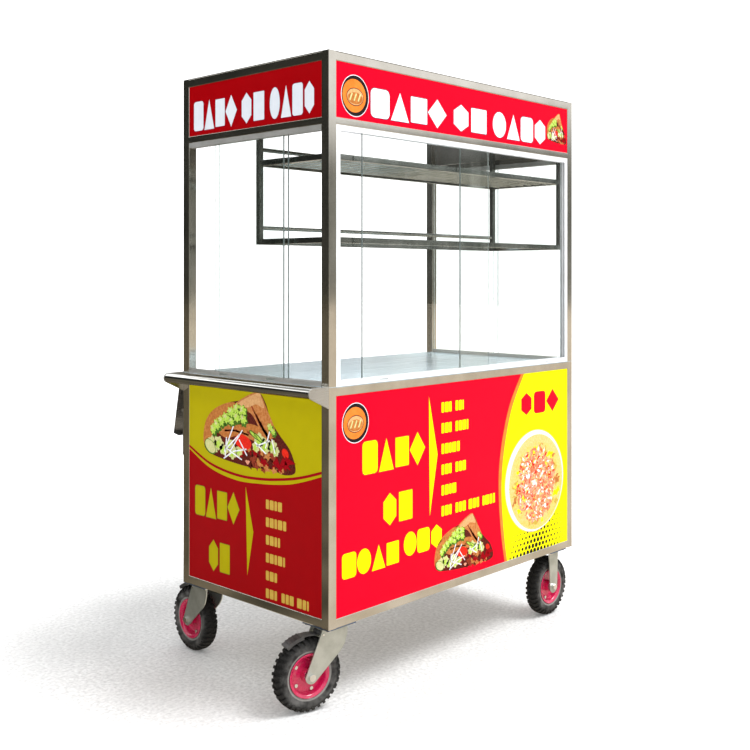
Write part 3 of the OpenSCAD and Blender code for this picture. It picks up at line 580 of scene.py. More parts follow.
# %% Bread rack
bars = join([round_bar(low, high) for low, high in solid_boxes("rack_shelf_bars")])
stand_for("rack_shelf_bars", bars, [rack_steel_painted_shade])
stand_for("rack_hangers", tubes("rack_hangers", SMALL_CORNER), [rack_steel_painted_shade])

# %% [markdown]
# ## The push handle
# The handle is one round tube across the end of the cart, with a flat cap pressed into each end. It is
# handled all day, so it is the most polished tube of all.

# %% Push handle
handle_low, handle_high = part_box("push_handle")
stand_for("push_handle", round_bar(handle_low, handle_high, 48), [handle_steel])
print("rack and handle done")

# %% [markdown]
# ## Sheet metal, fittings and fasteners
# The remaining pieces already have their true outline in the frame file. What the real ones add is a small
# radius on each edge, from the press brake or the deburring wheel, and that thin line of light is what
# makes an edge look like metal. A copy of the mesh is merged, its flat faces are joined up, and the sharp
# edges are bevelled.

# %% Soften the edges of a CAD piece
FLAT = math.radians(0.6)
SHARP = math.radians(30)


def softened(node, width, segments=2, edge_material=-1):
    bm = merged_copy(node)
    bmesh.ops.dissolve_limit(bm, angle_limit=FLAT, verts=bm.verts[:], edges=bm.edges[:])
    sharp = [e for e in bm.edges if len(e.link_faces) == 2 and e.calc_face_angle() > SHARP]
    bmesh.ops.bevel(
        bm, geom=sharp, offset=width, segments=segments, profile=0.5, affect="EDGES", clamp_overlap=True,
        material=edge_material,
    )
    return bm


EDGES = (
    (1.2, rack_frame_steel_painted_shade, ("rack_rails",)),
    (0.3, sheet_steel, ("cabinet_floor", "inner_shelf", "roof_sheet", "rear_shelf")),
    (0.3, sheet_steel, ("stay_brackets", "stay_left", "stay_right")),
    (0.2, sheet_steel, ("shelf_hinges",)),
    (0.4, sheet_steel, ("door_left", "door_right")),
    (0.5, sheet_steel, ("handle_gussets",)),
    (0.4, counter_steel_painted_reflection, ("counter_top",)),
    (0.3, track_grey, ("door_tracks",)),
    (0.5, track_grey, ("side_window_tracks",)),
    (0.5, track_white, ("front_window_track",)),
    (0.8, black_rubber, ("shelf_bumpers",)),
    (0.5, blue_zinc_and_painted_shade, ("caster_plates",)),
    (0.8, zinc_plate, ("fixed_forks", "fork_front_left", "fork_rear_left")),
    (0.3, bolt_steel, ("caster_fasteners",)),
    (0.4, bolt_steel, ("caster_pins", "pins_front_left", "pins_rear_left")),
    (0.4, bolt_steel, ("hub_front_left", "hub_rear_left", "hub_front_right", "hub_rear_right")),
)
for width_mm, material, nodes in EDGES:
    for node in nodes:
        stand_for(node, softened(node, width_mm * MM), [material])
print("fittings softened:", sum(len(nodes) for _, _, nodes in EDGES))

# %% [markdown]
# The brake pedal is a pressed lever with a dark coat. Boots rub the coat off its edges first, so the
# bevels are bare bright steel.

# %% Brake pedals
pedal_coat = coated("pedal_coat", (0.05, 0.05, 0.052), (0.13, 0.13, 0.13), 0.3, 0.5, 0.5)
for node in ("pedal_front_left", "pedal_rear_left"):
    stand_for(node, softened(node, 1.0 * MM, 2, 1), [pedal_coat, bolt_steel])

# %% [markdown]
# ## Window panes
# Each pane is a slab of 5 mm float glass with arrised edges. The two broad faces are clear, and the narrow
# sides and their small bevels are ground, which shows as a thin green line round the pane.

# %% Panes
PANES = (
    "front_pane_left", "front_pane_right", "left_pane_outer", "left_pane_inner", "right_pane_outer",
    "right_pane_inner",
)
ARRIS = 0.5 * MM


def pane(node):
    low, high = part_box(node)
    size = high - low
    thin = min(range(3), key=lambda i: size[i])
    bm = bmesh.new()
    place = Matrix.Translation((low + high) / 2) @ Matrix.Diagonal((*size, 1))
    bmesh.ops.create_cube(bm, size=1, matrix=place)
    bmesh.ops.bevel(bm, geom=bm.edges[:], offset=ARRIS, segments=1, profile=0.5, affect="EDGES", material=-1)
    bm.normal_update()
    for face in bm.faces:
        face.material_index = 0 if abs(face.normal[thin]) > 0.9 else 1
    return bm


for node in PANES:
    stand_for(node, pane(node), [window_glass, glass_edge])
print(len(PANES), "panes")

# %% [markdown]
# ## Rubber of the tyres
# A working tyre is never plain black. Its side walls carry a grey bloom of dust, and the bead has a pale
# ring where the rim rubs. The distance from the axle is stored on the mesh, so that one material can shade
# tread, side wall and bead in turn.

# %% Tyre rubber and rim paint


def tyre_rubber():
    recipe = Recipe("tyre_rubber", Metallic=0.0, Specular_IOR_Level=0.25)
    radius = recipe.attribute("radius")
    dust = recipe.mask(smudge_group, recipe.coordinates(), 30.0)
    grain = recipe.mask(grain_group, recipe.coordinates(), 420.0)
    base = recipe.mixed(grain, (0.003, 0.003, 0.003), (0.024, 0.023, 0.022))
    side = recipe.ranged(radius, 0.093, 0.080)
    dusty = recipe.mixed(recipe.times(recipe.times(side, dust), 0.6), base, (0.20, 0.195, 0.185))
    bead = recipe.ranged(radius, 0.0685, 0.0665)
    recipe.colour(recipe.mixed(recipe.times(bead, 0.55), dusty, (0.42, 0.41, 0.38)))
    recipe.roughness(grain, 0.62, 0.85)
    recipe.bump(grain, 0.0003, 0.6)
    return recipe.material


def rim_paint():
    recipe = Recipe("rim_paint", Metallic=0.0, Coat_Weight=0.8, Coat_Roughness=0.06)
    dust = recipe.mask(smudge_group, recipe.coordinates(), 26.0)
    peel = recipe.mask(grain_group, recipe.coordinates(), 300.0)
    recipe.colour(recipe.mixed(dust, (0.70, 0.008, 0.10), (0.50, 0.008, 0.065)))
    recipe.roughness(peel, 0.22, 0.34)
    recipe.bump(peel, 0.00005, 0.5)
    return recipe.material


rubber = tyre_rubber()
red_paint = rim_paint()

# %% [markdown]
# ## The wheels
# Each wheel is a pressed steel rim in two dished halves, bolted together round a ball bearing hub, with a
# pneumatic tyre on it. The tyre is turned from its half section, and the tread is a ring of slanted lugs
# that run from the shoulder down the side wall, staggered from one side to the other. Everything is drawn
# with the axle along Z at the origin, then stood on its axle by the frame's own axis.

# %% Wheel drawing helpers


def lathe(points, steps=96):
    """A closed section, given as (radius, height) in millimetres, turned once round Z."""
    bm = bmesh.new()
    verts = [bm.verts.new((r * MM, 0, z * MM)) for r, z in points]
    edges = [bm.edges.new((a, b)) for a, b in zip(verts, verts[1:] + verts[:1])]
    bmesh.ops.spin(
        bm, geom=verts + edges, cent=(0, 0, 0), axis=(0, 0, 1), angle=2 * math.pi, steps=steps, use_merge=True
    )
    bmesh.ops.remove_doubles(bm, verts=bm.verts[:], dist=MERGE)
    bmesh.ops.recalc_face_normals(bm, faces=bm.faces[:])
    return bm


def arc(centre, radius, start, end, steps):
    """Points on an arc, in degrees."""
    turn = [math.radians(start + (end - start) * i / steps) for i in range(steps + 1)]
    return [(centre[0] + radius * math.cos(a), centre[1] + radius * math.sin(a)) for a in turn]


def both_sides(half):
    """A half section and its mirror image, as one closed section."""
    return half + [(r, -z) for r, z in reversed(half)]


# %% Tyre with its tread
TYRE_R = 100.0
TYRE_HALF = 25.0
CARCASS_R = 96.8
LUGS = 34
LUG_ANGLE = 2 * math.pi / LUGS
# First and last distance across the tread, width, lean and depth
SIDE_LUG = (3.4, 31, 9.2, 7.0, 6.5)
MIDDLE_LUG = (-2.6, 2.6, 8.6, 2.6, 5.5)


def carcass():
    crown = arc((CARCASS_R - 20, 3.0), 20, 0, 62, 9)
    wall = arc((78.0, 8.6), 15.2, 58, 128, 7)
    bead = [(63.0, 19.0), (61.2, 17.4), (60.8, 14.5), (52.4, 14.5), (52.4, 9.0)]
    inside = [(60, 9), (72, 17), (84, 17.5), (91, 10), (92, 0.5)]
    return lathe(both_sides(crown + wall + bead + inside), 112)


def profile_at(across):
    """Radius and height on the tread face for a distance measured across it from the middle."""
    flat, bend = 9.0, 15.0
    if across <= flat:
        return TYRE_R - 0.02 * across, across, 0.0
    turn = (across - flat) / bend
    return TYRE_R - 0.2 - bend * (1 - math.cos(turn)), flat + bend * math.sin(turn), turn


def lug(first, last, width, lean, depth, start=0.0):
    """One tread block from one distance across the tread to another, bent over the shoulder."""
    bm = bmesh.new()
    bmesh.ops.create_cube(bm, size=1)
    length_edges = [e for e in bm.edges if abs((e.verts[0].co - e.verts[1].co).x) > 0.5]
    bmesh.ops.subdivide_edges(bm, edges=length_edges, cuts=5, use_grid_fill=True)
    for vert in bm.verts:
        share = vert.co.x + 0.5
        top = vert.co.z > 0
        across = first + (last - first) * share
        radius, height, turn = profile_at(across)
        sink = 0.0 if top else depth
        radius -= sink * math.cos(turn)
        height -= sink * math.sin(turn)
        height = min(height, TYRE_HALF - 0.3)
        side = vert.co.y * (width - (1.0 if top else 0.0)) + lean * share
        angle = start + side / TYRE_R
        vert.co = Vector((radius * math.cos(angle), radius * math.sin(angle), height)) * MM
    return bm


def tread():
    """Long lugs down each side, half a step apart, and short ones along the middle."""
    turns = [k * LUG_ANGLE for k in range(LUGS)]
    near = join([lug(*SIDE_LUG, turn) for turn in turns])
    far = join([lug(*SIDE_LUG, turn + LUG_ANGLE / 2) for turn in turns])
    bmesh.ops.transform(far, matrix=Matrix.Rotation(math.pi, 4, "X"), verts=far.verts[:])
    middle = [lug(*MIDDLE_LUG, turn + 0.18 * LUG_ANGLE) for turn in turns]
    return join([near, far] + middle)


def store_radius(bm):
    layer = bm.verts.layers.float.new("radius")
    for vert in bm.verts:
        vert[layer] = math.hypot(vert.co.x, vert.co.y)


def tyre():
    bm = join([carcass(), tread()])
    bmesh.ops.recalc_face_normals(bm, faces=bm.faces[:])
    store_radius(bm)
    return bm


# %% [markdown]
# The rim is pressed in two dished halves that meet in the middle. Each has a rolled lip that holds the
# bead, a step, a conical wall and a flat disc, where five bolts go round the hub. A valve stem comes
# through one side.

# %% Rim


def rim():
    lip = arc((59.3, 20.2), 1.5, -60, 150, 6)
    half = [(51.9, 0.0), (51.9, 15.5), (56.5, 17.6)] + lip + [(56.0, 19.6), (52.5, 17.6)]
    half += [(50.8, 14.5), (49.6, 9.0), (48.2, 4.4), (47.4, 3.0), (36.5, 3.0), (35.0, 3.8), (33.5, 3.8)]
    half += [(32.0, 3.0), (20.5, 3.0), (19.4, 4.4), (19.0, 21.0), (18.2, 22.0), (16.0, 22.0)]
    return lathe(both_sides(half), 96)


def valve():
    stem = lathe(both_sides([(2.6, 0.0), (2.6, 4.0), (2.2, 5.0), (2.2, 9.0), (1.5, 10.0), (0.3, 10.0)]), 20)
    bmesh.ops.translate(stem, vec=Vector((44.2, 0, 8.0)) * MM, verts=stem.verts[:])
    return stem


def axle_frame(joint_name):
    """A matrix that stands a wheel, drawn round Z, on its joint's axis."""
    joint = joint_of[joint_name]
    axis = Vector(joint["axis"]).normalized()
    side = Z_AXIS
    other = side.cross(axis).normalized()
    turn = Matrix((side, other, axis)).transposed().to_4x4()
    return Matrix.Translation(Vector(joint["pos_m"])) @ turn


WHEELS = ("front_left", "rear_left", "front_right", "rear_right")
for corner in WHEELS:
    stand = axle_frame("roll_" + corner)
    for kind, bm, material in (
        ("tyre_", tyre(), rubber),
        ("rim_", join([rim(), valve()]), red_paint),
    ):
        bmesh.ops.transform(bm, matrix=stand, verts=bm.verts[:])
        stand_for(kind + corner, bm, [material])
print("wheels done")

# %% [markdown]
# ## Cut vinyl signs
# The signs are films of coloured vinyl laid one over another on the steel panels. Each film is drawn flat
# in millimetres from the panel's lower left corner, as a sign maker would plot it, trimmed at the panel's
# edges, and raised a little more than the film below it. The marks are plain shapes with no lettering:
# blocks and lozenges stand where words would be, and rows of short bars make the menu.

# %% Flat shapes
FILM = 0.12 * MM


def disc(rx, ry=None, segments=48):
    bm = bmesh.new()
    bmesh.ops.create_circle(bm, cap_ends=True, segments=segments, radius=1)
    bmesh.ops.scale(bm, vec=(rx, ry or rx, 1), verts=bm.verts[:])
    return bm


def block(width, height, corner):
    bm = bmesh.new()
    bmesh.ops.create_grid(bm, x_segments=1, y_segments=1, size=0.5)
    bmesh.ops.scale(bm, vec=(width, height, 1), verts=bm.verts[:])
    bmesh.ops.bevel(
        bm, geom=bm.verts[:], offset=corner, segments=4, profile=0.5, affect="VERTICES",
        clamp_overlap=True, material=-1,
    )
    return bm


def lozenge(width, height):
    return disc(width / 2, height / 2, 4)


def hexagon(width, height):
    return disc(width / 2, height / 2, 6)


def wedge(width, height):
    bm = disc(1, 1, 3)
    low = min(v.co.y for v in bm.verts)
    bmesh.ops.translate(bm, vec=(0, -low - 0.75, 0), verts=bm.verts[:])
    bmesh.ops.scale(bm, vec=(width / math.sqrt(3), height / 1.5, 1), verts=bm.verts[:])
    return bm


def ruffle(rx, ry, lobes, depth, twist=0.0):
    """A leaf or crumb: a disc whose rim goes in and out."""
    bm = disc(1, 1, 28)
    for vert in bm.verts:
        angle = math.atan2(vert.co.y, vert.co.x)
        reach = 1 + depth * math.sin(lobes * angle + twist) + 0.5 * depth * math.sin((2 * lobes + 1) * angle)
        vert.co = Vector((vert.co.x * reach * rx, vert.co.y * reach * ry, 0))
    return bm


def between(t, a, b, c, d):
    """The smooth line's value a share t of the way from b to c."""
    bend, twist = 2 * a - 5 * b + 4 * c - d, 3 * b - 3 * c + d - a
    return 0.5 * (2 * b + (c - a) * t + bend * t * t + twist * t ** 3)


def flowing(points, steps=6):
    """Points on a smooth line through the given ones."""
    line = []
    ends = [points[0]] + list(points) + [points[-1]]
    for before, start, end, after in zip(ends, ends[1:], ends[2:], ends[3:]):
        for i in range(steps):
            line.append(tuple(between(i / steps, *four) for four in zip(before, start, end, after)))
    return line + [points[-1]]


def ring_of(points, steps=5):
    """A smooth closed outline through the given points."""
    loop = list(points) + list(points[:3])
    line = flowing([points[-1]] + loop, steps)
    return line[steps: steps * (len(points) + 1)]


def traced(points):
    """A filled outline, drawn as a flat curve and made a mesh."""
    curve = bpy.data.curves.new("outline", "CURVE")
    curve.dimensions = "2D"
    curve.fill_mode = "BOTH"
    spline = curve.splines.new("POLY")
    spline.points.add(len(points) - 1)
    for knot, (x, y) in zip(spline.points, points):
        knot.co = (x, y, 0, 1)
    spline.use_cyclic_u = True
    drawing = bpy.data.objects.new("outline", curve)
    bpy.context.collection.objects.link(drawing)
    bpy.context.view_layer.update()
    mesh = bpy.data.meshes.new_from_object(drawing.evaluated_get(bpy.context.evaluated_depsgraph_get()))
    bm = bmesh.new()
    bm.from_mesh(mesh)
    bpy.data.meshes.remove(mesh)
    bpy.data.objects.remove(drawing)
    bpy.data.curves.remove(curve)
    return bm


# %% A sign on one panel


class Sign:
    """Films on a panel, placed in millimetres from its lower left corner as the reader sees it."""

    def __init__(self, corner, right, width, height):
        normal = right.cross(Z_AXIS)
        self.place = Matrix.Translation(corner) @ Matrix((right, Z_AXIS, normal)).transposed().to_4x4()
        self.size = (width, height)
        self.films = []
        self.group = Matrix.Identity(4)
        self.base = 0

    def stick(self, bm, ink_name, level, at=(0, 0), turn=0.0):
        """One film: placed, trimmed to the panel and raised to its level."""
        put = self.group @ Matrix.Translation((*at, 0)) @ Matrix.Rotation(math.radians(turn), 4, "Z")
        bmesh.ops.transform(bm, matrix=put, verts=bm.verts[:])
        for axis, edge, out in ((0, 0, -1), (0, self.size[0], 1), (1, 0, -1), (1, self.size[1], 1)):
            point, normal = Vector((0, 0, 0)), Vector((0, 0, 0))
            point[axis], normal[axis] = edge, out
            everything = bm.verts[:] + bm.edges[:] + bm.faces[:]
            bmesh.ops.bisect_plane(bm, geom=everything, plane_co=point, plane_no=normal, clear_outer=True)
        if not bm.faces:
            bm.free()
            return
        bm.normal_update()
        if sum(face.normal.z for face in bm.faces) < 0:
            bmesh.ops.reverse_faces(bm, faces=bm.faces[:])
        made = bmesh.ops.extrude_face_region(bm, geom=bm.faces[:])
        raised = [item for item in made["geom"] if isinstance(item, bmesh.types.BMVert)]
        bmesh.ops.translate(bm, vec=(0, 0, FILM / MM * (level + self.base)), verts=raised)
        bmesh.ops.scale(bm, vec=(MM, MM, MM), verts=bm.verts[:])
        bmesh.ops.transform(bm, matrix=self.place, verts=bm.verts[:])
        for face in bm.faces:
            face.material_index = ink_number[ink_name]
        self.films.append(bm)

    def word(self, shapes, left, right, low, high, ink_name, level, gap=7, line=None, line_width=3):
        """A row of plain shapes where a word would stand, each with an outline if wanted."""
        step = (right - left + gap) / len(shapes)
        width, height = step - gap, high - low
        for i, shape in enumerate(shapes):
            at = (left + step * (i + 0.5) - gap / 2, (low + high) / 2)
            if line:
                self.stick(MARKS[shape](width + line_width, height + line_width), line, level, at)
            self.stick(MARKS[shape](width, height), ink_name, level + 1, at)

    def menu_row(self, left, right, low, high, ink_name, level):
        """A row of short bars, in a rhythm of widths."""
        x, i = left, 0
        while x < right - 6:
            width = min((13, 17, 11, 19, 14)[i % 5], right - x)
            if i % 4 != 3 or right - x < 40:
                self.stick(block(width, high - low, 3), ink_name, level, (x + width / 2, (low + high) / 2))
            else:
                x -= width * 0.35
            x += width + 3.5
            i += 1

    def finish(self, name, body, slot):
        return make_piece(name, join(self.films), ink_list, body)


MARKS = {
    "block": lambda w, h: block(w, h, min(w, h) * 0.2),
    "slab": lambda w, h: block(w * 0.94, h * 0.92, 3),
    "lozenge": lambda w, h: lozenge(w * 1.12, h * 1.05),
    "hexagon": lambda w, h: hexagon(w, h),
    "wedge": lambda w, h: wedge(w, h),
    "pebble": lambda w, h: disc(w / 2, h / 2, 40),
}
GOLDEN = math.radians(137.5)


def scatter(count, rx, ry):
    """Points spread evenly over an ellipse."""
    for i in range(count):
        reach = math.sqrt((i + 0.5) / count)
        yield i, rx * reach * math.cos(i * GOLDEN), ry * reach * math.sin(i * GOLDEN)


# %% [markdown]
# ## The food pictures
# A filled roll appears on three of the signs, so it is drawn once and placed at three sizes. It is a stack
# of simple shapes: the two halves of a toasted roll, ruffled leaves, shreds, tomato, cucumber and dark
# filling. The rice bowl is a white dish with lumps of yellow rice under a heap of pink shreds.

# %% Filled roll
ROLL_OUTLINE = (
    (74, 430), (84, 490), (130, 532), (200, 556), (248, 566), (327, 596), (364, 565), (385, 520), (425, 480),
    (470, 440), (490, 386), (444, 371), (380, 380), (304, 374), (187, 381), (95, 397),
)
ROLL_LEFT = (
    (72, 430), (84, 490), (130, 532), (205, 557), (232, 548), (180, 522), (130, 480), (112, 440), (92, 412),
)
ROLL_TOP = (
    (228, 548), (262, 574), (327, 597), (346, 584), (372, 545), (402, 498), (395, 470), (350, 476),
    (300, 530),
)
ROLL_CUT = ((240, 556), (327, 593), (345, 578), (356, 552), (320, 560), (285, 548))
ROLL_FOLD = ((140, 470), (190, 488), (250, 494), (310, 500), (395, 474), (330, 452), (250, 462), (180, 448))
LEAVES = (
    (120, 468, 17), (138, 484, 19), (158, 496, 18), (182, 508, 20), (205, 528, 19), (232, 540, 19),
    (258, 536, 21), (262, 512, 18), (232, 514, 17), (208, 500, 14), (382, 500, 13), (396, 488, 11),
)
PALE = (
    (118, 420, 27), (148, 428, 24), (172, 412, 20), (336, 458, 24), (362, 444, 26), (392, 446, 20),
    (320, 436, 16), (216, 408, 22), (244, 416, 18), (200, 432, 17), (408, 432, 15),
)
SHREDS = (
    (196, 446, 92, 62), (214, 440, 80, 38), (232, 446, 86, 50), (182, 420, 62, 84), (246, 418, 66, 12),
    (222, 404, 74, 160), (352, 450, 62, 20), (372, 462, 54, 70), (340, 436, 58, 150), (398, 446, 44, 110),
    (190, 396, 42, 30), (262, 428, 58, 130),
)


def filled_roll(sign, at, scale, level):
    """The roll, drawn round its middle and placed at a scale."""
    middle = Vector((281, 483, 0))
    sign.group = Matrix.Translation((*at, 0)) @ Matrix.Diagonal((*scale, 1, 1)) @ Matrix.Translation(-middle)
    sign.base = level
    stick = sign.stick
    stick(traced(ring_of(ROLL_OUTLINE)), "gravy", 0)
    stick(traced(ring_of(ROLL_LEFT)), "crust", 1)
    stick(traced(ring_of(ROLL_TOP)), "toast", 1)
    stick(traced(ring_of(ROLL_CUT)), "crumb", 2)
    for i in range(7):
        stick(block(74 - 4 * i, 5, 2.4), "crust" if i % 2 else "meat", 2, (322 + 9 * i, 524 - 9 * i), -54)
    stick(traced(ring_of(ROLL_FOLD)), "crust", 2)
    for i in range(6):
        place = (180 + 26 * i, 470 + 3 * math.sin(i))
        stick(block(60, 6, 2.5), "meat" if i % 2 else "toast", 3, place, 12 - 6 * i)
    for i, x, y in scatter(44, 108, 32):
        kind = ("meat", "gravy", "maroon", "toast")[i % 4]
        tone = ruffle(15 - 0.1 * i, 7 + i % 3, 5, 0.25, i)
        stick(tone, kind, 3 + 0.3 * (i % 3), (352 + x, 404 + y - 0.06 * x), 25 * (i % 7) - 60)
    for x, y, r in LEAVES:
        stick(ruffle(r, r * 0.86, 6, 0.16, x), "dark_leaf", 4, (x + 5, y - 6), x)
        stick(ruffle(r * 0.86, r * 0.7, 7, 0.22, y), "lettuce", 5, (x, y), y)
        stick(ruffle(r * 0.36, r * 0.26, 5, 0.3, x + y), "cream", 6, (x - 4, y + 4), x)
    for x, y, r in PALE:
        stick(ruffle(r, r * 0.8, 6, 0.14, x), "cream", 4, (x, y), x)
        stick(ruffle(r * 0.55, r * 0.35, 5, 0.25, y), "lettuce", 5, (x - 3, y - 3), y)
    stick(disc(30, 20, 32), "dark_leaf", 5, (106, 414), -30)
    stick(disc(27, 17, 32), "cream", 6, (107, 415), -30)
    stick(disc(38, 21, 32), "tomato", 5, (262, 444), -8)
    stick(disc(16, 12, 24), "tomato", 5, (448, 432), -40)
    for x, y in ((312, 470), (330, 464)):
        stick(disc(24, 7, 24), "dark_leaf", 6, (x, y), -28)
        stick(disc(19, 4, 24), "lettuce", 7, (x, y), -28)
    for x, y, length, turn in SHREDS:
        stick(block(length, 4.2, 2), "white", 7, (x, y), turn)
    for x, y, turn in ((420, 392, -35), (452, 398, -20), (470, 410, 5)):
        stick(wedge(26, 46), "maroon", 6, (x, y), turn - 100)
    stick(ruffle(9, 6, 3, 0.2), "pale_flakes", 7, (283, 388))
    sign.group = Matrix.Identity(4)
    sign.base = 0


# %% Rice bowl and badge


RICE_INKS = ("rice", "pale_rice", "sand", "pale_rice", "lemon", "rice", "crust", "pale_rice")
FLAKE_INKS = ("flakes", "flakes", "flakes", "tomato", "pale_flakes", "pale_flakes", "pale_rice", "porcelain")


def rice_bowl(sign, at, level):
    x0, y0 = at
    stick = sign.stick
    draw = random.Random(11)
    stick(disc(172, 172, 96), "bowl_shade", level, at)
    stick(disc(170, 170, 96), "porcelain", level + 1, at)
    stick(disc(157, 160, 72), "pale_rice", level + 2, (x0 + 8, y0 - 5))
    stick(ruffle(149, 145, 13, 0.018), "rice", level + 3, (x0 + 9, y0 - 15))
    heaps = (
        (280, 138, 134, 15, 9, 0.5, 4, RICE_INKS),
        (1100, 112, 124, 8, 3.5, 0.75, 6, FLAKE_INKS),
    )
    for number, half_x, half_y, long, short, crowding, lift, inks in heaps:
        for _ in range(number):
            angle = draw.uniform(0, 2 * math.pi)
            reach = draw.random() ** crowding
            place = (x0 + 5 + half_x * reach * math.cos(angle), y0 - 12 + half_y * reach * math.sin(angle))
            size = draw.uniform(0.6, 1.2)
            scrap = ruffle(long * size, short * size, 4, 0.25, angle)
            stick(scrap, draw.choice(inks), level + lift + draw.uniform(0, 2), place, draw.uniform(0, 180))


def badge(sign, at, radius, level):
    """A plain round badge with a loaf on it."""
    stick = sign.stick
    stick(disc(radius, radius * 1.06), "white", level, at)
    stick(disc(radius - 2, radius * 1.06 - 2), "black", level + 1, at)
    stick(disc(radius * 0.84), "orange", level + 2, (at[0] - radius * 0.06, at[1]))
    stick(disc(radius * 0.62, radius * 0.46), "black", level + 3, (at[0], at[1] - radius * 0.05))
    stick(disc(radius * 0.58, radius * 0.42), "crumb", level + 4, (at[0], at[1] - radius * 0.05))
    stick(disc(radius * 0.54, radius * 0.30), "crust", level + 5, (at[0], at[1] - radius * 0.12))
    for i in (-1, 0, 1):
        mark = block(radius * 0.09, radius * 0.42, 1)
        stick(mark, "cream", level + 6, (at[0] + i * radius * 0.3, at[1] - radius * 0.06), -24)


# %% [markdown]
# ## The signs
# The front panel is bright red with a yellow field swept in from the right, and the header carries pale
# marks on red. The end panels are yellow over red as well, but in darker inks that are painted shade, and
# the header's end faces share that darker red. The marks stand in rows as words would, so that the cart
# reads as a food stall from a distance.

# %% Front panel
LONG_WORD = ("block", "wedge", "slab", "lozenge")
SHORT_WORD = ("hexagon", "slab")
LAST_WORD = ("pebble", "wedge", "block", "hexagon")
MENU_LEFT, MENU_STEP = 448, 63
front_low, front_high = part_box("front_panel")
front_size = ((front_high.x - front_low.x) / MM, (front_high.z - front_low.z) / MM)
front = Sign(front_low.copy(), X_AXIS, *front_size)
front_w, front_h = front_size
front.stick(block(front_w, front_h, 0.2), "red", 1, (front_w / 2, front_h / 2))
SWEEP = ((863, front_h), (800, 513), (760, 408), (740, 307), (739, 204), (752, 88), (770, 0))
front.stick(traced(flowing(SWEEP) + [(front_w, 0), (front_w, front_h)]), "orange", 2)
FIELD = ((879, front_h), (813, 502), (778, 406), (757, 305), (754, 201), (767, 85), (783, 0))
front.stick(traced(flowing(FIELD) + [(front_w, 0), (front_w, front_h)]), "lemon", 3)
DOT_PITCH = 20
for row in range(9):
    for column in range(19):
        x = 800 + DOT_PITCH * column + DOT_PITCH / 2 * (row % 2)
        y = 4 + 17 * row
        fade = 1 - abs(x - 935 - 9 * row) / (230 + 8 * row) - 0.07 * row
        if fade > 0.12:
            front.stick(disc(9 * fade, 9 * fade, 20), "black", 4, (x, y))
rice_bowl(front, (943, 240), 5)
badge(front, (75, 525), 53, 2)
front.word(LONG_WORD, 103, 367, 376, 468, "lemon", 2, line="green_line")
front.word(SHORT_WORD, 185, 315, 217, 309, "lemon", 2, line="green_line")
front.word(("block", "pebble", "wedge", "slab"), 22, 256, 100, 170, "lemon", 2, gap=4)
front.word(("pebble", "block", "hexagon"), 276, 452, 112, 182, "lemon", 2, gap=4)
front.stick(traced([(389, 570), (393, 214), (429, 393)]), "lemon", 2)
for row, end in enumerate((556, 579, 537, 568, 525, 717)):
    low = 517 - MENU_STEP * row
    front.menu_row(MENU_LEFT, end, low, low + 31, "lemon", 2)
front.word(("hexagon", "block", "lozenge"), 858, 1082, 466, 540, "red", 4, gap=9)
filled_roll(front, (561, 104), (0.70, 0.73), 2)
front.finish("front_sign", "cart", "panel_front")
print("front sign")

# %% End panels
SWOOP_TOP = ((0, 408), (105, 366), (227, 348), (342, 350), (451, 364), (521, 379))
SWOOP_LOW = ((0, 395), (105, 348), (227, 328), (342, 332), (451, 345), (521, 362))


def end_face(low, high, outward):
    """An empty sign on the outer face of a panel at one end of the cart."""
    corner = Vector((low.x, high.y, low.z)) if outward < 0 else Vector((high.x, low.y, low.z))
    return Sign(corner, Y_AXIS * outward, (high.y - low.y) / MM, (high.z - low.z) / MM)


def ground(sign, ink_name):
    """The first film, which covers the whole panel."""
    width, height = sign.size
    sign.stick(block(width, height, 0.2), ink_name, 1, (width / 2, height / 2))


def end_sign(node, outward):
    sign = end_face(*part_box(node), outward)
    width, height = sign.size
    top_edge = flowing(SWOOP_TOP + ((width, 401),))
    low_edge = flowing(SWOOP_LOW + ((width, 386),))
    maroon_low = [(x, y - 8) for x, y in top_edge]
    # Painted shade: an end panel's red ground and yellow films are darker copies of the front's inks.
    ground(sign, "red_in_painted_shade")
    sign.stick(traced(low_edge + [(width, height), (0, height)]), "lemon_in_painted_shade", 2)
    sign.stick(traced(top_edge + maroon_low[::-1]), "maroon", 3)
    sign.word(LONG_WORD, 31, 241, 197, 287, "lemon_in_painted_shade", 2, gap=5, line="green_line")
    sign.word(SHORT_WORD, 97, 200, 38, 132, "lemon_in_painted_shade", 2, gap=5, line="green_line")
    sign.stick(traced([(273, 315), (281, 56), (308, 187)]), "lemon_in_painted_shade", 2)
    for row, end in enumerate((433, 451, 425, 446, 415, 544)):
        bottom = 264 - 51 * row
        sign.menu_row(364, end, bottom, bottom + 27, "sand", 2)
    filled_roll(sign, (281, 483), (1, 1), 4)
    return sign.finish(node + "_sign", "cart", "panel_ends")


end_sign("left_panel", -1)
end_sign("right_panel", 1)
print("end signs")

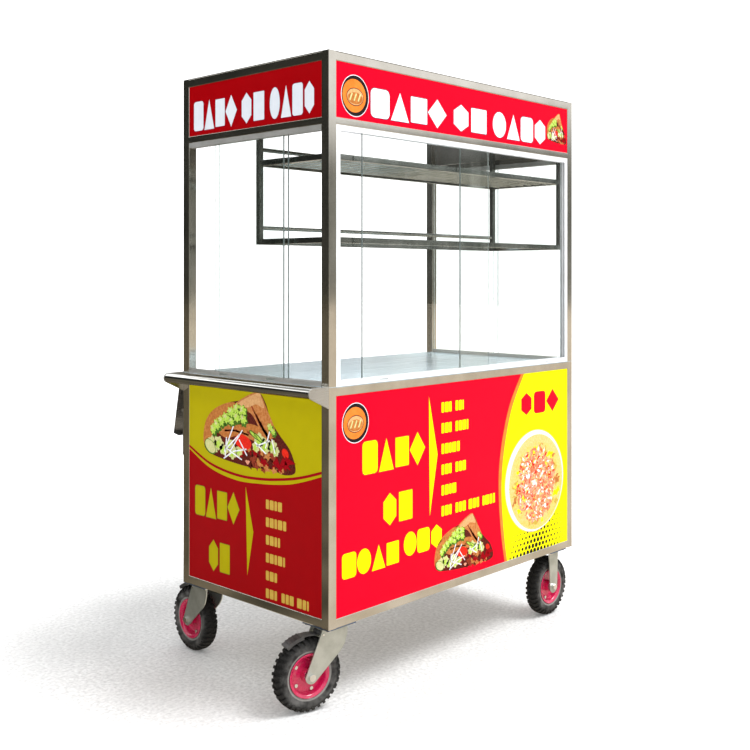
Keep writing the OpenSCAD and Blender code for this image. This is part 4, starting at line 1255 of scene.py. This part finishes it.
# %% Header
WORDS = ((LONG_WORD, 136, 467), (SHORT_WORD, 501, 675), (LAST_WORD, 706, 1008))
END_WORDS = ((LONG_WORD, 24, 230), (SHORT_WORD, 252, 358), (LAST_WORD, 381, 568))
for low, high in solid_boxes("header_panels"):
    size = high - low
    if size.x > size.y:
        sign = Sign(low.copy(), X_AXIS, size.x / MM, size.z / MM)
        ground(sign, "red")
        badge(sign, (73, 66), 55, 2)
        for shapes, left, right in WORDS:
            sign.word(shapes, left, right, 15, 98, "white", 2, gap=6, line="plum", line_width=5)
        filled_roll(sign, (1074, 79), (0.29, 0.46), 2)
        sign.finish("front_header_sign", "cart", "panel_header")
        continue
    side, outward = ("left", -1) if low.x < 0 else ("right", 1)
    sign = end_face(low, high, outward)
    # Painted shade: the header's end faces take the darker copy of the front's red.
    ground(sign, "red_in_painted_shade")
    for shapes, left, right in END_WORDS:
        sign.word(shapes, left, right, 14, 104, "grey_white", 2, gap=5, line="plum", line_width=4)
    sign.finish(side + "_header_sign", "cart", "panel_header")
print("header signs")

# %% Panels behind the signs
for node in ("front_panel", "left_panel", "right_panel", "header_panels"):
    stand_for(node, softened(node, 0.3 * MM), [sheet_steel])
frame["nodes"]["post_inserts"].data.materials.clear()
frame["nodes"]["post_inserts"].data.materials.append(zinc_plate)

# %% [markdown]
# ## Studio
# The cart stands on a pale floor in soft light. The surroundings are bright to the front right and dim to
# the back left, so that the long side is bright and the handle end is in shade, and the steel has
# something dark to reflect. The floor also glows more the further it is from the cart, which is painted
# light round a painted shadow, and the steel sees a painted reflection in it instead of the lit floor.

# %% Floor
scene = bpy.context.scene
scene.view_settings.view_transform = "Standard"
scene.view_settings.look = "None"

SHADE_SIDE = (-0.73, 0.68, 0.0)
floor_recipe = Recipe("studio_floor", Metallic=0.0)
floor_place = floor_recipe.coordinates()
floor_cloud = floor_recipe.mask(smudge_group, floor_place, 3.0)
floor_grain = floor_recipe.mask(grain_group, floor_place, 60.0)
floor_speckle = floor_recipe.mask(smudge_group, floor_place, 90.0)
floor_tone = floor_recipe.mixed(floor_cloud, (0.94, 0.94, 0.94), (0.82, 0.82, 0.82))
floor_tone = floor_recipe.mixed(floor_recipe.times(floor_grain, 0.55), floor_tone, (0.56, 0.56, 0.56))
floor_tone = floor_recipe.mixed(floor_recipe.times(floor_speckle, 0.75), floor_tone, (0.50, 0.50, 0.50))
floor_recipe.colour(floor_tone)
floor_recipe.roughness(floor_grain, 0.8, 0.95)
floor_recipe.bump(floor_grain, 0.002, 0.3)
# Painted reflection: rays that bounce off the steel see a glow instead of the lit floor, pale beige to the front
# and near black towards the back left as painted shade, with soft blotches in it.
reflection_dark_side = floor_recipe.ranged(floor_recipe.towards(floor_place, SHADE_SIDE), 0.45, 0.75)
path = floor_recipe.nodes.new("ShaderNodeLightPath")
mirrored = floor_recipe.math("GREATER_THAN", path.outputs["Glossy Depth"], 0.5)
painted_reflection_glow = floor_recipe.nodes.new("ShaderNodeEmission")
reflection_blotches = floor_recipe.mask(smudge_group, floor_place, 2.2)
reflected_light_tone = floor_recipe.mixed(reflection_blotches, (1.0, 0.90, 0.77), (0.80, 0.68, 0.52))
reflected_shade_tone = floor_recipe.mixed(reflection_blotches, (0.07, 0.065, 0.045), (0.24, 0.20, 0.14))
floor_recipe.link(floor_recipe.mixed(reflection_dark_side, reflected_light_tone, reflected_shade_tone), painted_reflection_glow.inputs["Color"])
floor_with_painted_reflection = floor_recipe.nodes.new("ShaderNodeMixShader")
floor_recipe.link(mirrored, floor_with_painted_reflection.inputs["Fac"])
floor_recipe.link(floor_recipe.shader.outputs["BSDF"], floor_with_painted_reflection.inputs[1])
floor_recipe.link(painted_reflection_glow.outputs["Emission"], floor_with_painted_reflection.inputs[2])
floor_recipe.link(floor_with_painted_reflection.outputs["Shader"], floor_recipe.nodes["Material Output"].inputs["Surface"])
# Painted light: the floor glows white, faintly within 0.85 m of the middle and fully from 1.7 m out, so the floor
# round the cart reads as a painted shadow.
floor_recipe.shader.inputs["Emission Color"].default_value = (1, 1, 1, 1)
away = floor_recipe.nodes.new("ShaderNodeVectorMath")
away.operation = "LENGTH"
floor_recipe.link(floor_place, away.inputs[0])
painted_floor_light = floor_recipe.ranged(away.outputs["Value"], 0.85, 1.7, 0.10, 0.62)
floor_recipe.link(painted_floor_light, floor_recipe.shader.inputs["Emission Strength"])

FLOOR_HALF = 30.0
floor_bm = bmesh.new()
bmesh.ops.create_grid(floor_bm, x_segments=1, y_segments=1, size=FLOOR_HALF)
floor_mesh = bpy.data.meshes.new("floor")
floor_bm.to_mesh(floor_mesh)
floor_bm.free()
floor_mesh.materials.append(floor_recipe.material)
floor = bpy.data.objects.new("floor", floor_mesh)
bpy.context.collection.objects.link(floor)

print("floor of", len(floor_mesh.polygons), "face")

# %% Surroundings and key light
world = bpy.data.worlds.new("studio")
scene.world = world
sky = NodeKit(world)
direction = sky.nodes.new("ShaderNodeTexCoord").outputs["Generated"]
split = sky.nodes.new("ShaderNodeSeparateXYZ")
sky.link(direction, split.inputs["Vector"])
height = split.outputs["Z"]
shaded = sky.ranged(sky.towards(direction, SHADE_SIDE), -0.05, 0.45)
blotch = sky.nodes.new("ShaderNodeTexNoise")
blotch.inputs["Detail"].default_value = 4.0
sky.link(sky.coordinates((14, 14, 3), "Generated"), blotch.inputs["Vector"])
streaky = sky.ranged(blotch.outputs["Fac"], 0.46, 0.68)
low_band = sky.mixed(streaky, (0.16, 0.165, 0.15), (0.55, 0.54, 0.50))
dark_side = sky.mixed(streaky, (0.014, 0.018, 0.016), (0.10, 0.09, 0.075))
open_sky = sky.mixed(sky.ranged(height, 0.11, 0.16), low_band, (1.25, 1.25, 1.25))
strip = sky.mixed(sky.ranged(height, 0.44, 0.48), dark_side, (2.4, 2.4, 2.4))
dark_sky = sky.mixed(sky.ranged(height, 0.56, 0.62), strip, (0.50, 0.50, 0.48))
around = sky.mixed(shaded, open_sky, dark_sky)
path = sky.nodes.new("ShaderNodeLightPath")
turned = sky.math("ADD", path.outputs["Glossy Depth"], path.outputs["Diffuse Depth"])
whole = sky.mixed(sky.math("GREATER_THAN", turned, 0.5), (1.7, 1.7, 1.7), around)
sky.link(whole, sky.nodes["Background"].inputs["Color"])

SUN_FROM = Vector((0.45, -0.6, 1.2))
sun_data = bpy.data.lights.new("key", "SUN")
sun_data.energy = 2.3
sun_data.angle = math.radians(25)
sun = bpy.data.objects.new("key", sun_data)
sun.rotation_euler = SUN_FROM.to_track_quat("Z", "Y").to_euler()
bpy.context.collection.objects.link(sun)
print("studio ready")
